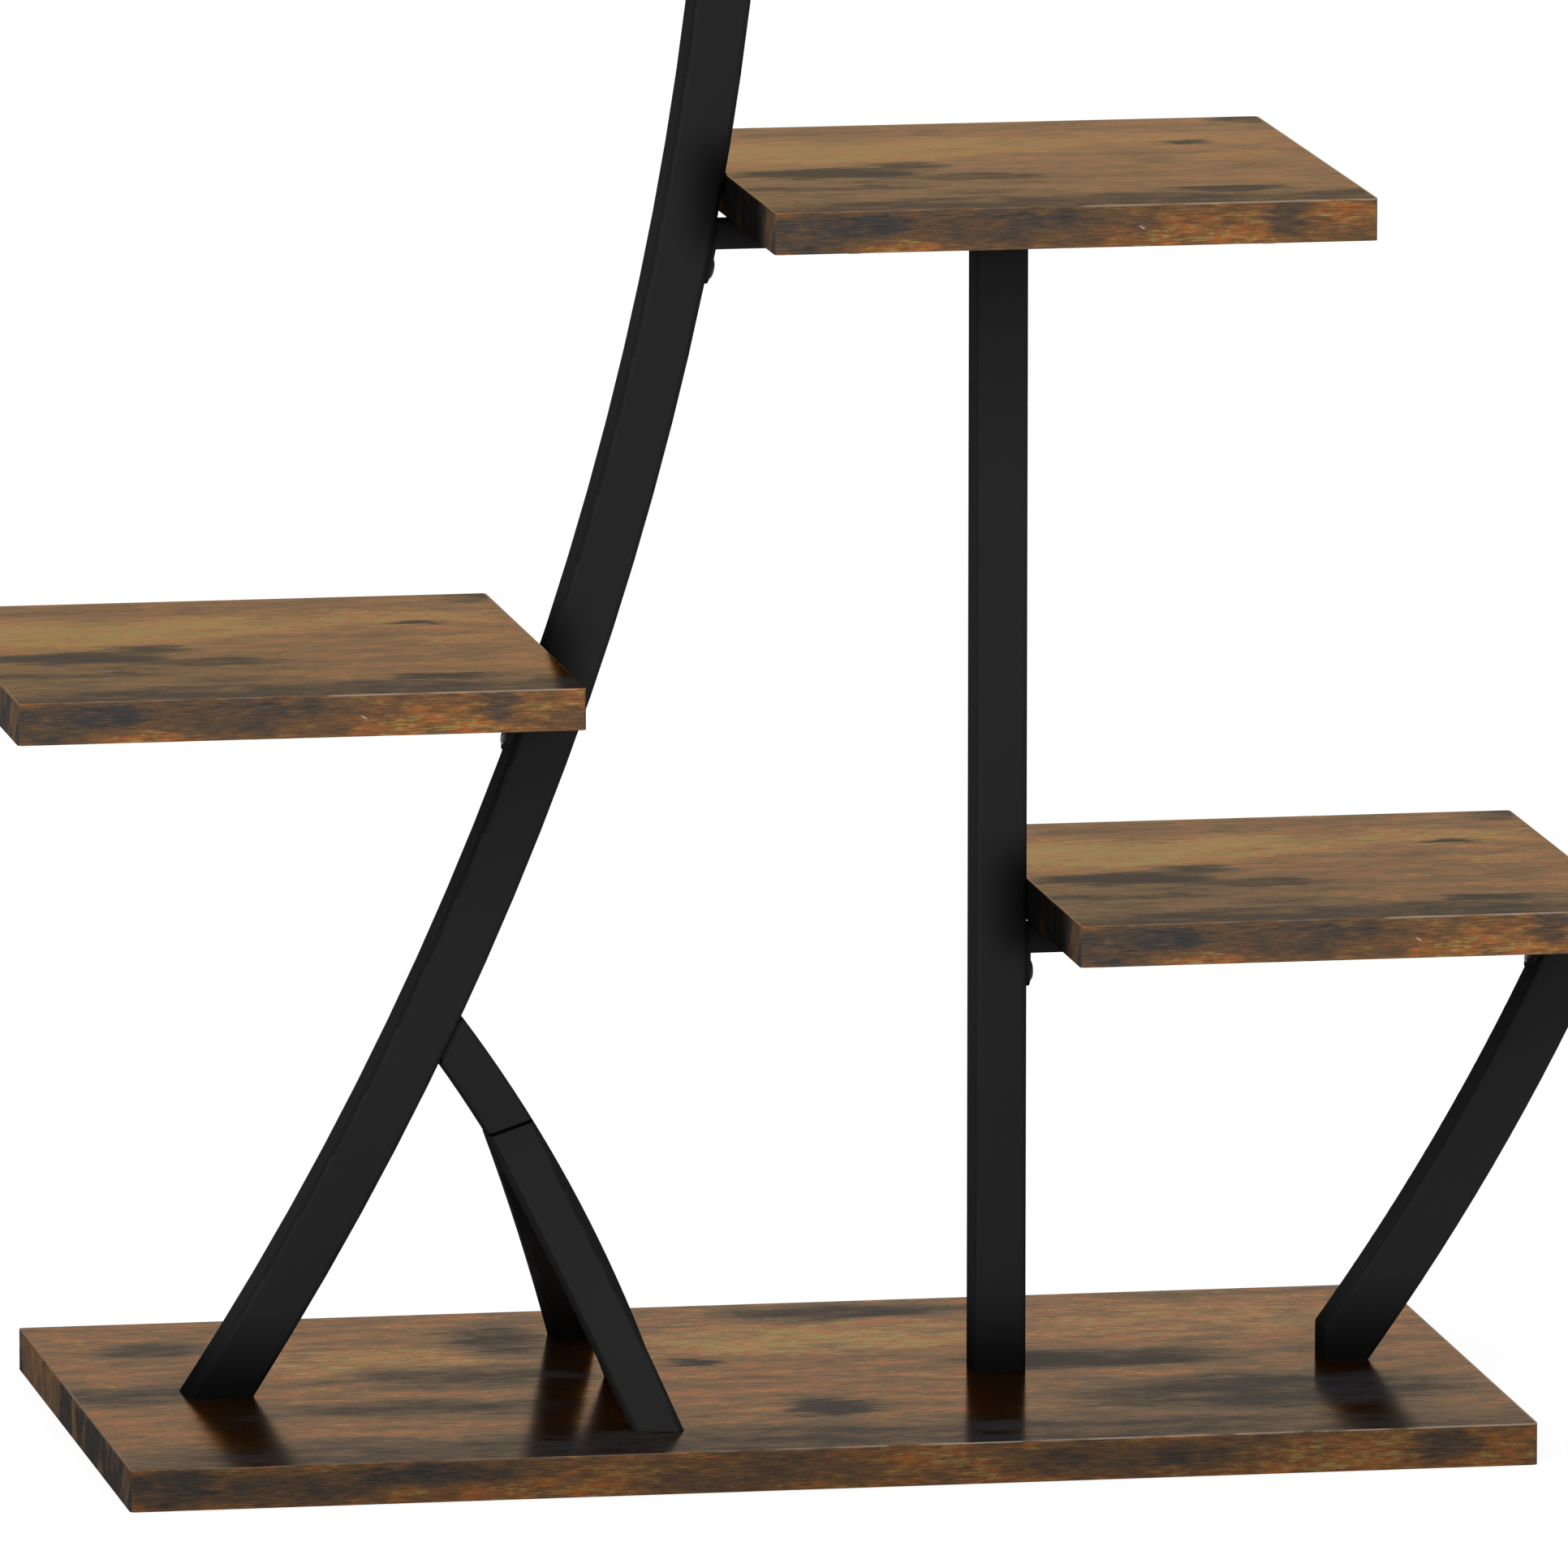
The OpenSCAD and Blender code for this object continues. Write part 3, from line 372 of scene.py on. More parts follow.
class Builder:
    """Adds and links nodes in one tree; inputs are numbers, vectors or other nodes' sockets."""

    def __init__(self, tree):
        self.tree = tree

    def feed(self, socket, value):
        if isinstance(value, bpy.types.NodeSocket):
            self.tree.links.new(value, socket)
        elif value is not None:
            socket.default_value = value

    def maths(self, operation, first, second=None, clamp=False):
        node = self.tree.nodes.new("ShaderNodeMath")
        node.operation = operation
        node.use_clamp = clamp
        self.feed(node.inputs[0], first)
        self.feed(node.inputs[1], second)
        return node.outputs[0]

    def total(self, *values):
        result = values[0]
        for value in values[1:]:
            result = self.maths("ADD", result, value)
        return result

    def product(self, *values):
        result = values[0]
        for value in values[1:]:
            result = self.maths("MULTIPLY", result, value)
        return result

    def swing(self, value, reach):
        """Turns noise from nought to one into a swing about nothing."""
        return self.maths("MULTIPLY", self.maths("SUBTRACT", value, 0.5), reach)

    def vector(self, operation, first, second=None):
        node = self.tree.nodes.new("ShaderNodeVectorMath")
        node.operation = operation
        self.feed(node.inputs[0], first)
        self.feed(node.inputs[1], second)
        return node.outputs["Value"] if operation in ("LENGTH", "DOT_PRODUCT") else node.outputs["Vector"]

    def grey(self, value):
        return self.combine(value, value, value)

    def combine(self, x, y, z):
        node = self.tree.nodes.new("ShaderNodeCombineXYZ")
        for socket, value in zip(node.inputs, (x, y, z)):
            self.feed(socket, value)
        return node.outputs[0]

    def separate(self, vector):
        node = self.tree.nodes.new("ShaderNodeSeparateXYZ")
        self.feed(node.inputs[0], vector)
        return node.outputs

    def ramp(self, value, low, high, to_low=0.0, to_high=1.0, smooth=True):
        node = self.tree.nodes.new("ShaderNodeMapRange")
        node.interpolation_type = "SMOOTHSTEP" if smooth else "LINEAR"
        for socket, setting in zip(node.inputs, (value, low, high, to_low, to_high)):
            self.feed(socket, setting)
        return node.outputs[0]

    def mix_node(self, kind, sockets, factor, first, second, blend="MIX"):
        node = self.tree.nodes.new("ShaderNodeMix")
        node.data_type = kind
        node.blend_type = blend
        first_place, second_place, result_place = sockets
        self.feed(node.inputs[0], factor)
        self.feed(node.inputs[first_place], first)
        self.feed(node.inputs[second_place], second)
        return node.outputs[result_place]

    def mix(self, factor, first, second, blend="MIX"):
        return self.mix_node("RGBA", COLOUR_SOCKETS, factor, first, second, blend)

    def mix_vector(self, factor, first, second):
        return self.mix_node("VECTOR", VECTOR_SOCKETS, factor, first, second)

    def noise(self, vector, scale=1.0, detail=2.0, roughness=0.5, distortion=0.0):
        node = self.tree.nodes.new("ShaderNodeTexNoise")
        self.feed(node.inputs["Vector"], vector)
        self.feed(node.inputs["Scale"], scale)
        self.feed(node.inputs["Detail"], detail)
        self.feed(node.inputs["Roughness"], roughness)
        self.feed(node.inputs["Distortion"], distortion)
        return node

    def use(self, group, **values):
        node = self.tree.nodes.new("ShaderNodeGroup")
        node.node_tree = group
        for label, value in values.items():
            self.feed(node.inputs[label.replace("_", " ")], value)
        return node

    def place(self):
        """Where a point lies on its own object, which is its place in the shared frame."""
        return self.tree.nodes.new("ShaderNodeTexCoord").outputs["Object"]

    def normal(self):
        """The sideways, depth and upward parts of the surface's normal."""
        return self.separate(self.tree.nodes.new("ShaderNodeTexCoord").outputs["Normal"])

    def streak(self, streaks, vector, length, width, offset):
        """One layer of the grain streaks, as noise from nought to one."""
        return self.use(streaks, Vector=vector, Length=length, Width=width, Offset=offset).outputs["Value"]

    def bump(self, height, strength, distance):
        node = self.tree.nodes.new("ShaderNodeBump")
        node.inputs["Strength"].default_value = strength
        node.inputs["Distance"].default_value = distance
        self.feed(node.inputs["Height"], height)
        return node.outputs[0]


def rgba(colour, factor=1.0):
    return (*(part * factor for part in colour), 1.0)


def make_streak_group():
    """Noise drawn out along X, in metres: the grain of the laminate."""
    group, source, sink = new_group(
        "grain streaks",
        [("NodeSocketVector", "Vector", (0, 0, 0)), ("NodeSocketFloat", "Length", millimetres(60)),
         ("NodeSocketFloat", "Width", millimetres(5)), ("NodeSocketFloat", "Offset", 0.0)],
        [("NodeSocketFloat", "Value")])
    b = Builder(group)
    size = b.combine(source.outputs["Length"], source.outputs["Width"], source.outputs["Width"])
    place = b.vector("DIVIDE", source.outputs["Vector"], size)
    place = b.vector("ADD", place, b.combine(source.outputs["Offset"], source.outputs["Offset"], 0.0))
    value = b.noise(place, detail=4.0, roughness=0.6, distortion=0.12).outputs["Fac"]
    b.feed(sink.inputs["Value"], value)
    return group


def make_patch_group():
    """Soft oval on a face, full at its middle and gone a third beyond its half size."""
    group, source, sink = new_group(
        "soft patch",
        [("NodeSocketVector", "Vector", (0, 0, 0)), ("NodeSocketVector", "Middle", (0.5, 0.5, 0)),
         ("NodeSocketVector", "Half size", (0.1, 0.1, 1)), ("NodeSocketFloat", "Strength", 1.0)],
        [("NodeSocketFloat", "Mask")])
    b = Builder(group)
    away = b.vector("SUBTRACT", source.outputs["Vector"], source.outputs["Middle"])
    away = b.vector("DIVIDE", away, source.outputs["Half size"])
    gone, full = 1.35, 0.45
    mask = b.ramp(b.vector("LENGTH", away), gone, full)
    b.feed(sink.inputs["Mask"], b.product(mask, source.outputs["Strength"]))
    return group


def make_print_group(name, patches, soft_patch):
    """Masks of a print's ochre, dark and rust patches over a face."""
    group, source, sink = new_group(
        name, [("NodeSocketVector", "Vector", (0, 0, 0))],
        [("NodeSocketFloat", "Ochre"), ("NodeSocketFloat", "Dark"), ("NodeSocketFloat", "Rust")])
    b = Builder(group)
    totals = {"ochre": None, "dark": None, "rust": None}
    for kind, middle, half, strength in patches:
        mask = b.use(soft_patch, Vector=source.outputs["Vector"], Middle=(*middle, 0.0),
                     Half_size=(*half, 1.0), Strength=strength).outputs["Mask"]
        totals[kind] = mask if totals[kind] is None else b.maths("MAXIMUM", totals[kind], mask)
    for kind, total in totals.items():
        if total is not None:
            b.feed(sink.inputs[kind.capitalize()], total)
    return group


def make_ragged_group(streaks):
    """Shifts a share of a face along the grain, so that patches end in torn streaks."""
    group, source, sink = new_group(
        "ragged edge",
        [("NodeSocketVector", "Share", (0, 0, 0)), ("NodeSocketVector", "Grain", (0, 0, 0)),
         ("NodeSocketVector", "Reach", (0.06, 0.05, 0))],
        [("NodeSocketVector", "Vector")])
    b = Builder(group)
    grain = source.outputs["Grain"]
    long_pull = b.streak(streaks, grain, *LONG_PULL)
    short_pull = b.streak(streaks, grain, *SHORT_PULL)
    cross_pull = b.streak(streaks, grain, *CROSS_PULL)
    along = b.total(b.swing(long_pull, 4.0), b.swing(short_pull, 2.4))
    across = b.total(b.swing(cross_pull, 4.0), b.swing(long_pull, 2.0))
    pull = b.vector("MULTIPLY", b.combine(along, across, 0.0), source.outputs["Reach"])
    b.feed(sink.inputs["Vector"], b.vector("ADD", source.outputs["Share"], pull))
    return group


def make_laminate_group(streaks, settings):
    """Rustic laminate, torn from charcoal over brown to orange or ochre; Tone is high where it is dark."""
    group, source, sink = new_group(
        "rustic laminate",
        [("NodeSocketVector", "Grain", (0, 0, 0)), ("NodeSocketFloat", "Ochre", 0.0),
         ("NodeSocketFloat", "Dark", 0.0), ("NodeSocketFloat", "Rust", 0.0),
         ("NodeSocketFloat", "Level", 0.0), ("NodeSocketFloat", "Contrast", 1.0),
         ("NodeSocketFloat", "Shade", 1.0), ("NodeSocketColor", "Charcoal", rgba(settings.dark))],
        [("NodeSocketColor", "Color"), ("NodeSocketFloat", "Tone"), ("NodeSocketFloat", "Height")])
    b = Builder(group)
    grain = source.outputs["Grain"]
    ochre, dark, rust = (source.outputs[name] for name in ("Ochre", "Dark", "Rust"))

    def layer(long_share, wide_share, offset):
        length = settings.streak_length * long_share
        width = settings.streak_width * wide_share
        return b.streak(streaks, grain, length, width, offset)

    layers = {name: layer(*values[:3]) for name, values in TONE_LAYERS.items()}
    tone = b.total(*(b.swing(layers[name], values[3]) for name, values in TONE_LAYERS.items()))
    tone = b.total(tone, source.outputs["Level"], b.product(ochre, OCHRE_LIFT))
    tone = b.maths("SUBTRACT", tone, b.product(rust, RUST_DROP))
    tone = b.maths("SUBTRACT", tone, b.product(dark, DARK_DROP))

    hue = b.product(b.total(layer(*HUE_LAYER), layers["fleck"]), 0.5)
    pale = b.ramp(b.total(b.product(ochre, OCHRE_PATCH_SHARE), b.swing(hue, HUE_SWING)), *OCHRE_LIMITS)
    bright = b.mix(pale, rgba(settings.orange), rgba(settings.ochre))
    ground = b.mix(rust, rgba(settings.brown), rgba(settings.rust))
    colour = b.mix(b.ramp(tone, *WARM_LIMITS), ground, bright)
    colour = b.mix(source.outputs["Contrast"], rgba(MEAN_BROWN), colour)
    colour = b.mix(b.ramp(tone, *CHARCOAL_LIMITS), colour, source.outputs["Charcoal"])
    line = b.ramp(layers["fibre"], *FIBRE_LIMITS, *FIBRE_SHADES, smooth=False)
    colour = b.mix(1.0, colour, b.grey(line), blend="MULTIPLY")
    pores = b.ramp(b.streak(streaks, grain, *PORES), *PORE_LIMITS)
    colour = b.mix(b.product(pores, PORE_STRENGTH), colour, rgba(settings.dark, PORE_SHADE))
    colour = b.mix(1.0, colour, b.grey(source.outputs["Shade"]), blend="MULTIPLY")
    b.feed(sink.inputs["Color"], colour)

    brown_fade = b.ramp(tone, *reversed(WARM_LIMITS), 0.0, BROWN_FADE, smooth=False)
    charcoal_fade = b.ramp(tone, *CHARCOAL_FADE_LIMITS, 0.0, CHARCOAL_FADE)
    b.feed(sink.inputs["Tone"], b.total(brown_fade, charcoal_fade))
    b.feed(sink.inputs["Height"], b.maths("SUBTRACT", layers["fibre"], pores))
    return group


def make_chip_group(settings):
    """Raw chipboard, as it shows in a bore or a recess."""
    group, source, sink = new_group(
        "chipboard", [("NodeSocketVector", "Vector", (0, 0, 0))], [("NodeSocketColor", "Color")])
    b = Builder(group)
    flakes = b.tree.nodes.new("ShaderNodeTexVoronoi")
    b.feed(flakes.inputs["Vector"], b.vector("MULTIPLY", source.outputs["Vector"], FLAKES_IN_A_METRE))
    flakes.inputs["Scale"].default_value = 1.0
    shade = b.separate(flakes.outputs["Color"])[0]
    b.feed(sink.inputs["Color"], b.mix(shade, rgba(settings.chip, 0.45), rgba(settings.chip)))
    return group


def make_near_group():
    """How near a point is to a box: one at the box, nothing beyond its reach."""
    group, source, sink = new_group(
        "near box",
        [("NodeSocketVector", "Vector", (0, 0, 0)), ("NodeSocketVector", "Low", (0, 0, 0)),
         ("NodeSocketVector", "High", (1, 1, 1)), ("NodeSocketFloat", "Reach", 0.02)],
        [("NodeSocketFloat", "Mask")])
    b = Builder(group)
    below = b.vector("SUBTRACT", source.outputs["Low"], source.outputs["Vector"])
    above = b.vector("SUBTRACT", source.outputs["Vector"], source.outputs["High"])
    outside = b.vector("MAXIMUM", b.vector("MAXIMUM", below, above), (0.0, 0.0, 0.0))
    away = b.maths("DIVIDE", b.vector("LENGTH", outside), source.outputs["Reach"])
    b.feed(sink.inputs["Mask"], b.ramp(away, 1.0, 0.0))
    return group


def make_coat_group():
    """Powder coat: faint orange peel and a slow change of tone."""
    group, source, sink = new_group(
        "powder coat", [("NodeSocketVector", "Vector", (0, 0, 0)), ("NodeSocketFloat", "Grain size", 0.0007)],
        [("NodeSocketFloat", "Height"), ("NodeSocketFloat", "Tone")])
    b = Builder(group)
    scaled = b.vector("DIVIDE", source.outputs["Vector"], b.grey(source.outputs["Grain size"]))
    b.feed(sink.inputs["Height"], b.noise(scaled).outputs["Fac"])
    b.feed(sink.inputs["Tone"], b.noise(source.outputs["Vector"], COAT_TONE_SCALE).outputs["Fac"])
    return group


def new_material(name):
    """Returns a material with one Principled shader, its builder and the shader."""
    material = bpy.data.materials.new(name)
    material.use_nodes = True
    shader = material.node_tree.nodes["Principled BSDF"]
    return material, Builder(material.node_tree), shader


def put_on(node_names, material):
    for name in node_names:
        NODES[name].data.materials.clear()
        NODES[name].data.materials.append(material)


# Boards

class BoardGroups:
    """The node groups that all boards share."""

    def __init__(self, settings):
        self.streaks = make_streak_group()
        self.patch = make_patch_group()
        self.ragged = make_ragged_group(self.streaks)
        self.laminate = make_laminate_group(self.streaks, settings)
        self.chip = make_chip_group(settings)
        self.prints = {
            "shelf_top": make_print_group("shelf top print", SHELF_TOP_PRINT, self.patch),
            "base_top": make_print_group("base top print", BASE_TOP_PRINT, self.patch),
            "shelf_front": make_print_group("shelf front print", SHELF_FRONT_PRINT, self.patch),
            "base_front": make_print_group("base front print", BASE_FRONT_PRINT, self.patch),
        }


def mirror_tint(settings, height):
    """The tint of a board's mirror, which goes from the low one to the high one up to the middle shelf."""
    share = min(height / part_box("mid_right_edge_band")[1].z, 1.0)
    return tuple(Vector(settings.low_tint).lerp(Vector(settings.high_tint), share))


def finish_wood(b, shader, laminate, colour, gloss_share, settings, tint):
    """Links a laminate to its shader; the gloss share dims the mirror where the face calls for it."""
    height = laminate.outputs["Height"]
    gloss = b.ramp(laminate.outputs["Tone"], 0.0, 1.0, settings.gloss, settings.dark_gloss, smooth=False)
    b.feed(shader.inputs["Base Color"], colour)
    b.feed(shader.inputs["Metallic"], b.product(gloss, gloss_share))
    roughest, smoothest = settings.roughness + 0.04, settings.roughness - 0.03
    b.feed(shader.inputs["Roughness"], b.ramp(height, 0.2, 0.9, roughest, smoothest, smooth=False))
    shader.inputs["Specular IOR Level"].default_value = 0.0
    shader.inputs["Specular Tint"].default_value = rgba(tint)
    b.feed(shader.inputs["Normal"], b.bump(height, *LAMINATE_BUMP))


def board_material(name, settings, groups, box, top_print, tint):
    """Laminated faces with their print, and raw chipboard on the walls of bores, recesses and notches."""
    material, b, shader = new_material(name)
    low, high = box
    size = high - low
    place = b.place()
    offset = b.vector("SUBTRACT", place, tuple(low))
    x, y, z = b.separate(offset)
    grain = b.combine(x, y, 0.0)
    share = b.vector("DIVIDE", offset, (size.x, size.y, 1.0))
    reach = (TOP_REACH[0] / size.x, TOP_REACH[1] / size.y, 0.0)
    ragged = b.use(groups.ragged, Share=share, Grain=grain, Reach=reach)
    flat = b.vector("MULTIPLY", ragged.outputs["Vector"], (1.0, 1.0, 0.0))
    masks = b.use(groups.prints[top_print], Vector=flat)
    laminate = b.use(groups.laminate, Grain=grain, Ochre=masks.outputs["Ochre"], Dark=masks.outputs["Dark"],
                     Rust=masks.outputs["Rust"])
    chip = b.use(groups.chip, Vector=place)
    outer, inner = CHIPBOARD_EDGE
    inside = b.product(b.ramp(z, outer, inner), b.ramp(z, size.z - outer, size.z - inner))
    colour = b.mix(inside, laminate.outputs["Color"], chip.outputs["Color"])
    facing = b.tree.nodes.new("ShaderNodeLayerWeight").outputs["Facing"]
    mirror = b.ramp(facing, *FACING_LIMITS, SATIN_GLOSS, 1.0)
    finish_wood(b, shader, laminate, colour, mirror, settings, tint)
    return material


def pale_nick(b, groups, share_x, share_z, width, thickness):
    """Mask of the small slanting nick that the print has on each shelf's front."""
    middle_x, middle_z = NICK_PLACE
    slant = b.product(b.maths("SUBTRACT", share_x, middle_x), NICK_SLANT * width / thickness)
    nick = b.use(groups.patch, Vector=b.combine(share_x, b.total(share_z, slant), 0.0),
                 Middle=(middle_x, middle_z, 0.0), Strength=NICK_STRENGTH,
                 Half_size=(NICK_HALF_SIZE[0] / width, NICK_HALF_SIZE[1] / thickness, 1.0))
    return nick.outputs["Mask"]


def shade_beside_tube(b, share_x, y, on_end, tube_end, depth):
    """One on the middle of the end that faces a tube, nothing elsewhere."""
    beside = b.ramp(b.maths("ABSOLUTE", b.maths("SUBTRACT", share_x, tube_end)), *TUBE_END_LIMITS)
    off_middle = b.maths("ABSOLUTE", b.maths("SUBTRACT", y, depth / 2))
    return b.product(beside, on_end, b.ramp(off_middle, *(depth * limit for limit in TUBE_MIDDLE_LIMITS)))


def band_material(name, settings, groups, box, front_print, tint, shade, tube_end=None):
    """Printed band round a board: grain along the sides and upright on the ends, and a pale upper edge line,
    partly worn and partly a painted highlight.
    """
    material, b, shader = new_material(name)
    low, high = box
    width, depth, thickness = high - low
    x, y, z = b.separate(b.vector("SUBTRACT", b.place(), tuple(low)))
    share_x = b.maths("DIVIDE", x, width)
    share_z = b.maths("DIVIDE", z, thickness)
    normals = b.normal()
    on_end = b.ramp(b.maths("ABSOLUTE", normals[0]), *FACE_LIMITS)
    on_rim = b.ramp(b.maths("ABSOLUTE", normals[2]), *FACE_LIMITS)
    on_side = b.maths("SUBTRACT", 1.0, on_end, clamp=True)

    side_grain = b.combine(x, b.total(z, SIDE_GRAIN_OFFSET), 0.0)
    end_grain = b.combine(z, b.total(b.product(y, END_GRAIN_STRETCH), END_GRAIN_OFFSET), 0.0)
    grain = b.mix_vector(on_end, side_grain, end_grain)
    grain = b.mix_vector(on_rim, grain, b.combine(x, y, 0.0))

    ragged = b.use(groups.ragged, Share=b.combine(share_x, share_z, 0.0), Grain=side_grain,
                   Reach=(BAND_REACH[0] / width, BAND_REACH[1], 0.0))
    masks = b.use(groups.prints[front_print], Vector=ragged.outputs["Vector"])
    cloud = b.streak(groups.streaks, end_grain, *END_CLOUD)
    end_dark = b.product(on_end, b.ramp(cloud, *END_CLOUD_LIMITS))
    dark = b.maths("MAXIMUM", b.product(masks.outputs["Dark"], on_side), end_dark)
    ochre = b.product(masks.outputs["Ochre"], on_side)

    nick = 0.0
    if tube_end is not None:
        nick = pale_nick(b, groups, share_x, share_z, width, thickness)
        beside = shade_beside_tube(b, share_x, y, on_end, tube_end, depth)
        shade = b.product(shade, b.ramp(beside, 0.0, 1.0, 1.0, TUBE_SHADE))
    laminate = b.use(groups.laminate, Grain=grain, Ochre=ochre, Dark=dark, Shade=shade,
                     Contrast=BAND_CONTRAST, Level=b.product(on_end, END_LEVEL),
                     Charcoal=rgba(settings.band_dark))

    # Pale upper edge line: partly worn edge, partly painted highlight that fades towards the left
    wear_and_highlight = b.ramp(b.streak(groups.streaks, side_grain, *EDGE_WEAR_AND_HIGHLIGHT), *EDGE_WEAR_AND_HIGHLIGHT_LIMITS)
    highlight_to_the_right = b.ramp(share_x, *EDGE_LINE_FADE, EDGE_LINE_ON_LEFT, 1.0)
    line = b.product(b.ramp(share_z, *EDGE_LINE_LIMITS), wear_and_highlight, highlight_to_the_right)
    pale = b.maths("MAXIMUM", b.product(line, EDGE_LINE_STRENGTH), nick)
    colour = b.mix(pale, laminate.outputs["Color"], rgba(EDGE_LINE_COLOUR))
    finish_wood(b, shader, laminate, colour, b.ramp(on_end, 0.0, 1.0, 1.0, END_GLOSS), settings, tint)
    return material


class STAND_OT_boards(Operator):
    """Give the base board and the shelves their rustic brown laminate and edge bands"""
    bl_idname = "stand.boards"
    bl_label = "Laminated boards"

    def execute(self, context):
        settings = context.scene.stand_boards
        groups = BoardGroups(settings)
        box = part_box("base_edge_band")
        tint = mirror_tint(settings, box[1].z)
        put_on(["base_board"], board_material("base board laminate", settings, groups, box, "base_top", tint))
        put_on(["base_edge_band"],
               band_material("base edge band", settings, groups, box, "base_front", tint, BASE_BAND_SHADE))
        for shelf in SHELVES:
            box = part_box(shelf + "_edge_band")
            tint = mirror_tint(settings, box[1].z)
            label = shelf.replace("_", " ")
            tube_end = 0.0 if shelf.endswith("right") else 1.0
            put_on([shelf + "_board"],
                   board_material(label + " laminate", settings, groups, box, "shelf_top", tint))
            put_on([shelf + "_edge_band"],
                   band_material(label + " edge band", settings, groups, box, "shelf_front", tint,
                                 SHELF_BAND_SHADE, tube_end))
        return {"FINISHED"}


# Steel, zinc and plastic

def joint_plane(node, tilt):
    """The leaning plane through a leg's highest point, as its upward direction and its height along it."""
    top = max((corner.co for corner in NODES[node].data.vertices), key=lambda place: place.z)
    upward = Vector((-math.sin(tilt), 0.0, math.cos(tilt)))
    return tuple(upward), upward.dot(top)


def contact_shade(b, place, near):
    """Soft shade on a tube where the base, from the post's front backwards, or a shelf comes near."""
    low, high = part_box("base_edge_band")
    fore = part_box("post")[0].y
    shade = b.use(near, Vector=place, Low=(low.x, fore, low.z), High=tuple(high),
                  Reach=BASE_SHADE_REACH).outputs["Mask"]
    for shelf in SHELVES:
        low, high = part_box(shelf + "_edge_band")
        beside = b.use(near, Vector=place, Low=tuple(low), High=tuple(high), Reach=SHELF_SHADE_REACH)
        shade = b.maths("MAXIMUM", shade, beside.outputs["Mask"])
    return shade


def powder_coat_material(name, settings, coat, near, joint=None):
    """Matt black with a faint sheen, darker along the corners, in the brace's joints and near a board."""
    material, b, shader = new_material(name)
    place = b.place()
    skin = b.use(coat, Vector=place, Grain_size=millimetres(0.8))
    colour = b.mix(skin.outputs["Tone"], rgba(settings.colour), rgba(settings.colour, 1.15))
    fore = b.maths("ABSOLUTE", b.normal()[1])
    corner = b.product(b.ramp(fore, *CORNER_START), b.ramp(fore, *CORNER_END))
    shade = b.product(contact_shade(b, place, near), CONTACT_SHADE)
    shade = b.maths("MAXIMUM", shade, b.product(corner, CORNER_SHADE))
    if joint is not None:
        upward, level = joint
        away = b.maths("ABSOLUTE", b.maths("SUBTRACT", b.vector("DOT_PRODUCT", place, upward), level))
        shade = b.maths("MAXIMUM", shade, b.ramp(away, *JOINT_LINE_LIMITS))
    smoothest, roughest = settings.roughness - 0.03, settings.roughness + 0.03
    b.feed(shader.inputs["Base Color"], b.mix(shade, colour, rgba(SHADE_COLOUR)))
    b.feed(shader.inputs["Roughness"],
           b.ramp(skin.outputs["Tone"], 0.3, 0.7, smoothest, roughest, smooth=False))
    b.feed(shader.inputs["Metallic"], b.ramp(shade, 0.0, 0.75, settings.sheen, 0.0))
    shader.inputs["Specular IOR Level"].default_value = 0.0
    shader.inputs["Specular Tint"].default_value = rgba(COAT_EDGE_TINT)
    b.feed(shader.inputs["Normal"], b.bump(skin.outputs["Height"], *COAT_BUMP))
    return material


def small_part_material(name, coat, colours, mask, grain_size, roughness, bump):
    """Finish of fasteners and caps: a mask of the skin mixes two colours, and its height does the rest."""
    material, b, shader = new_material(name)
    skin = b.use(coat, Vector=b.place(), Grain_size=grain_size)
    first, second = colours
    height = skin.outputs["Height"]
    b.feed(shader.inputs["Base Color"], b.mix(skin.outputs[mask], rgba(first), rgba(second)))
    b.feed(shader.inputs["Roughness"], b.ramp(height, 0.3, 0.7, *roughness))
    b.feed(shader.inputs["Normal"], b.bump(height, *bump))
    return material, shader


def zinc_material(settings, coat):
    red, green, blue = settings.zinc
    yellowish = (red * 0.95, green * 0.9, blue * 0.75)
    material, shader = small_part_material(
        "bright zinc plate", coat, (settings.zinc, yellowish), mask="Tone",
        grain_size=millimetres(0.4), roughness=(0.24, 0.38), bump=(0.08, millimetres(0.04)))
    shader.inputs["Metallic"].default_value = 1.0
    return material


def screw_material(coat):
    material, shader = small_part_material(
        "black oxide screws", coat, (OXIDE_DARK, OXIDE_LIGHT), mask="Height",
        grain_size=millimetres(0.5), roughness=(0.34, 0.46), bump=(0.08, millimetres(0.04)))
    shader.inputs["Metallic"].default_value = 0.6
    return material


def plastic_material(settings, coat):
    lighter = tuple(part * 1.6 for part in settings.plastic)
    material, shader = small_part_material(
        "black moulded plastic", coat, (settings.plastic, lighter), mask="Tone",
        grain_size=millimetres(0.5), roughness=(0.55, 0.68), bump=(0.15, millimetres(0.08)))
    shader.inputs["Specular IOR Level"].default_value = 0.3
    return material


class STAND_OT_metal(Operator):
    """Give the tubes, rails, plates, fasteners and caps their finishes"""
    bl_idname = "stand.metal"
    bl_label = "Steel, screws and caps"

    def execute(self, context):
        settings = context.scene.stand_steel
        coat = make_coat_group()
        near = make_near_group()
        finishes = {
            "black_painted_steel": powder_coat_material("black powder coat", settings, coat, near),
            "zinc_plated_steel": zinc_material(settings, coat),
            "black_screws": screw_material(coat),
            "black_plastic": plastic_material(settings, coat),
        }
        for node, slot in SLOTS.items():
            if slot in finishes:
                put_on([node], finishes[slot])
        joint = joint_plane("brace_front_leg", settings.joint_tilt)
        put_on(["brace_bow", "brace_front_leg", "brace_rear_leg"],
               powder_coat_material("black powder coat at the brace", settings, coat, near, joint))
        return {"FINISHED"}


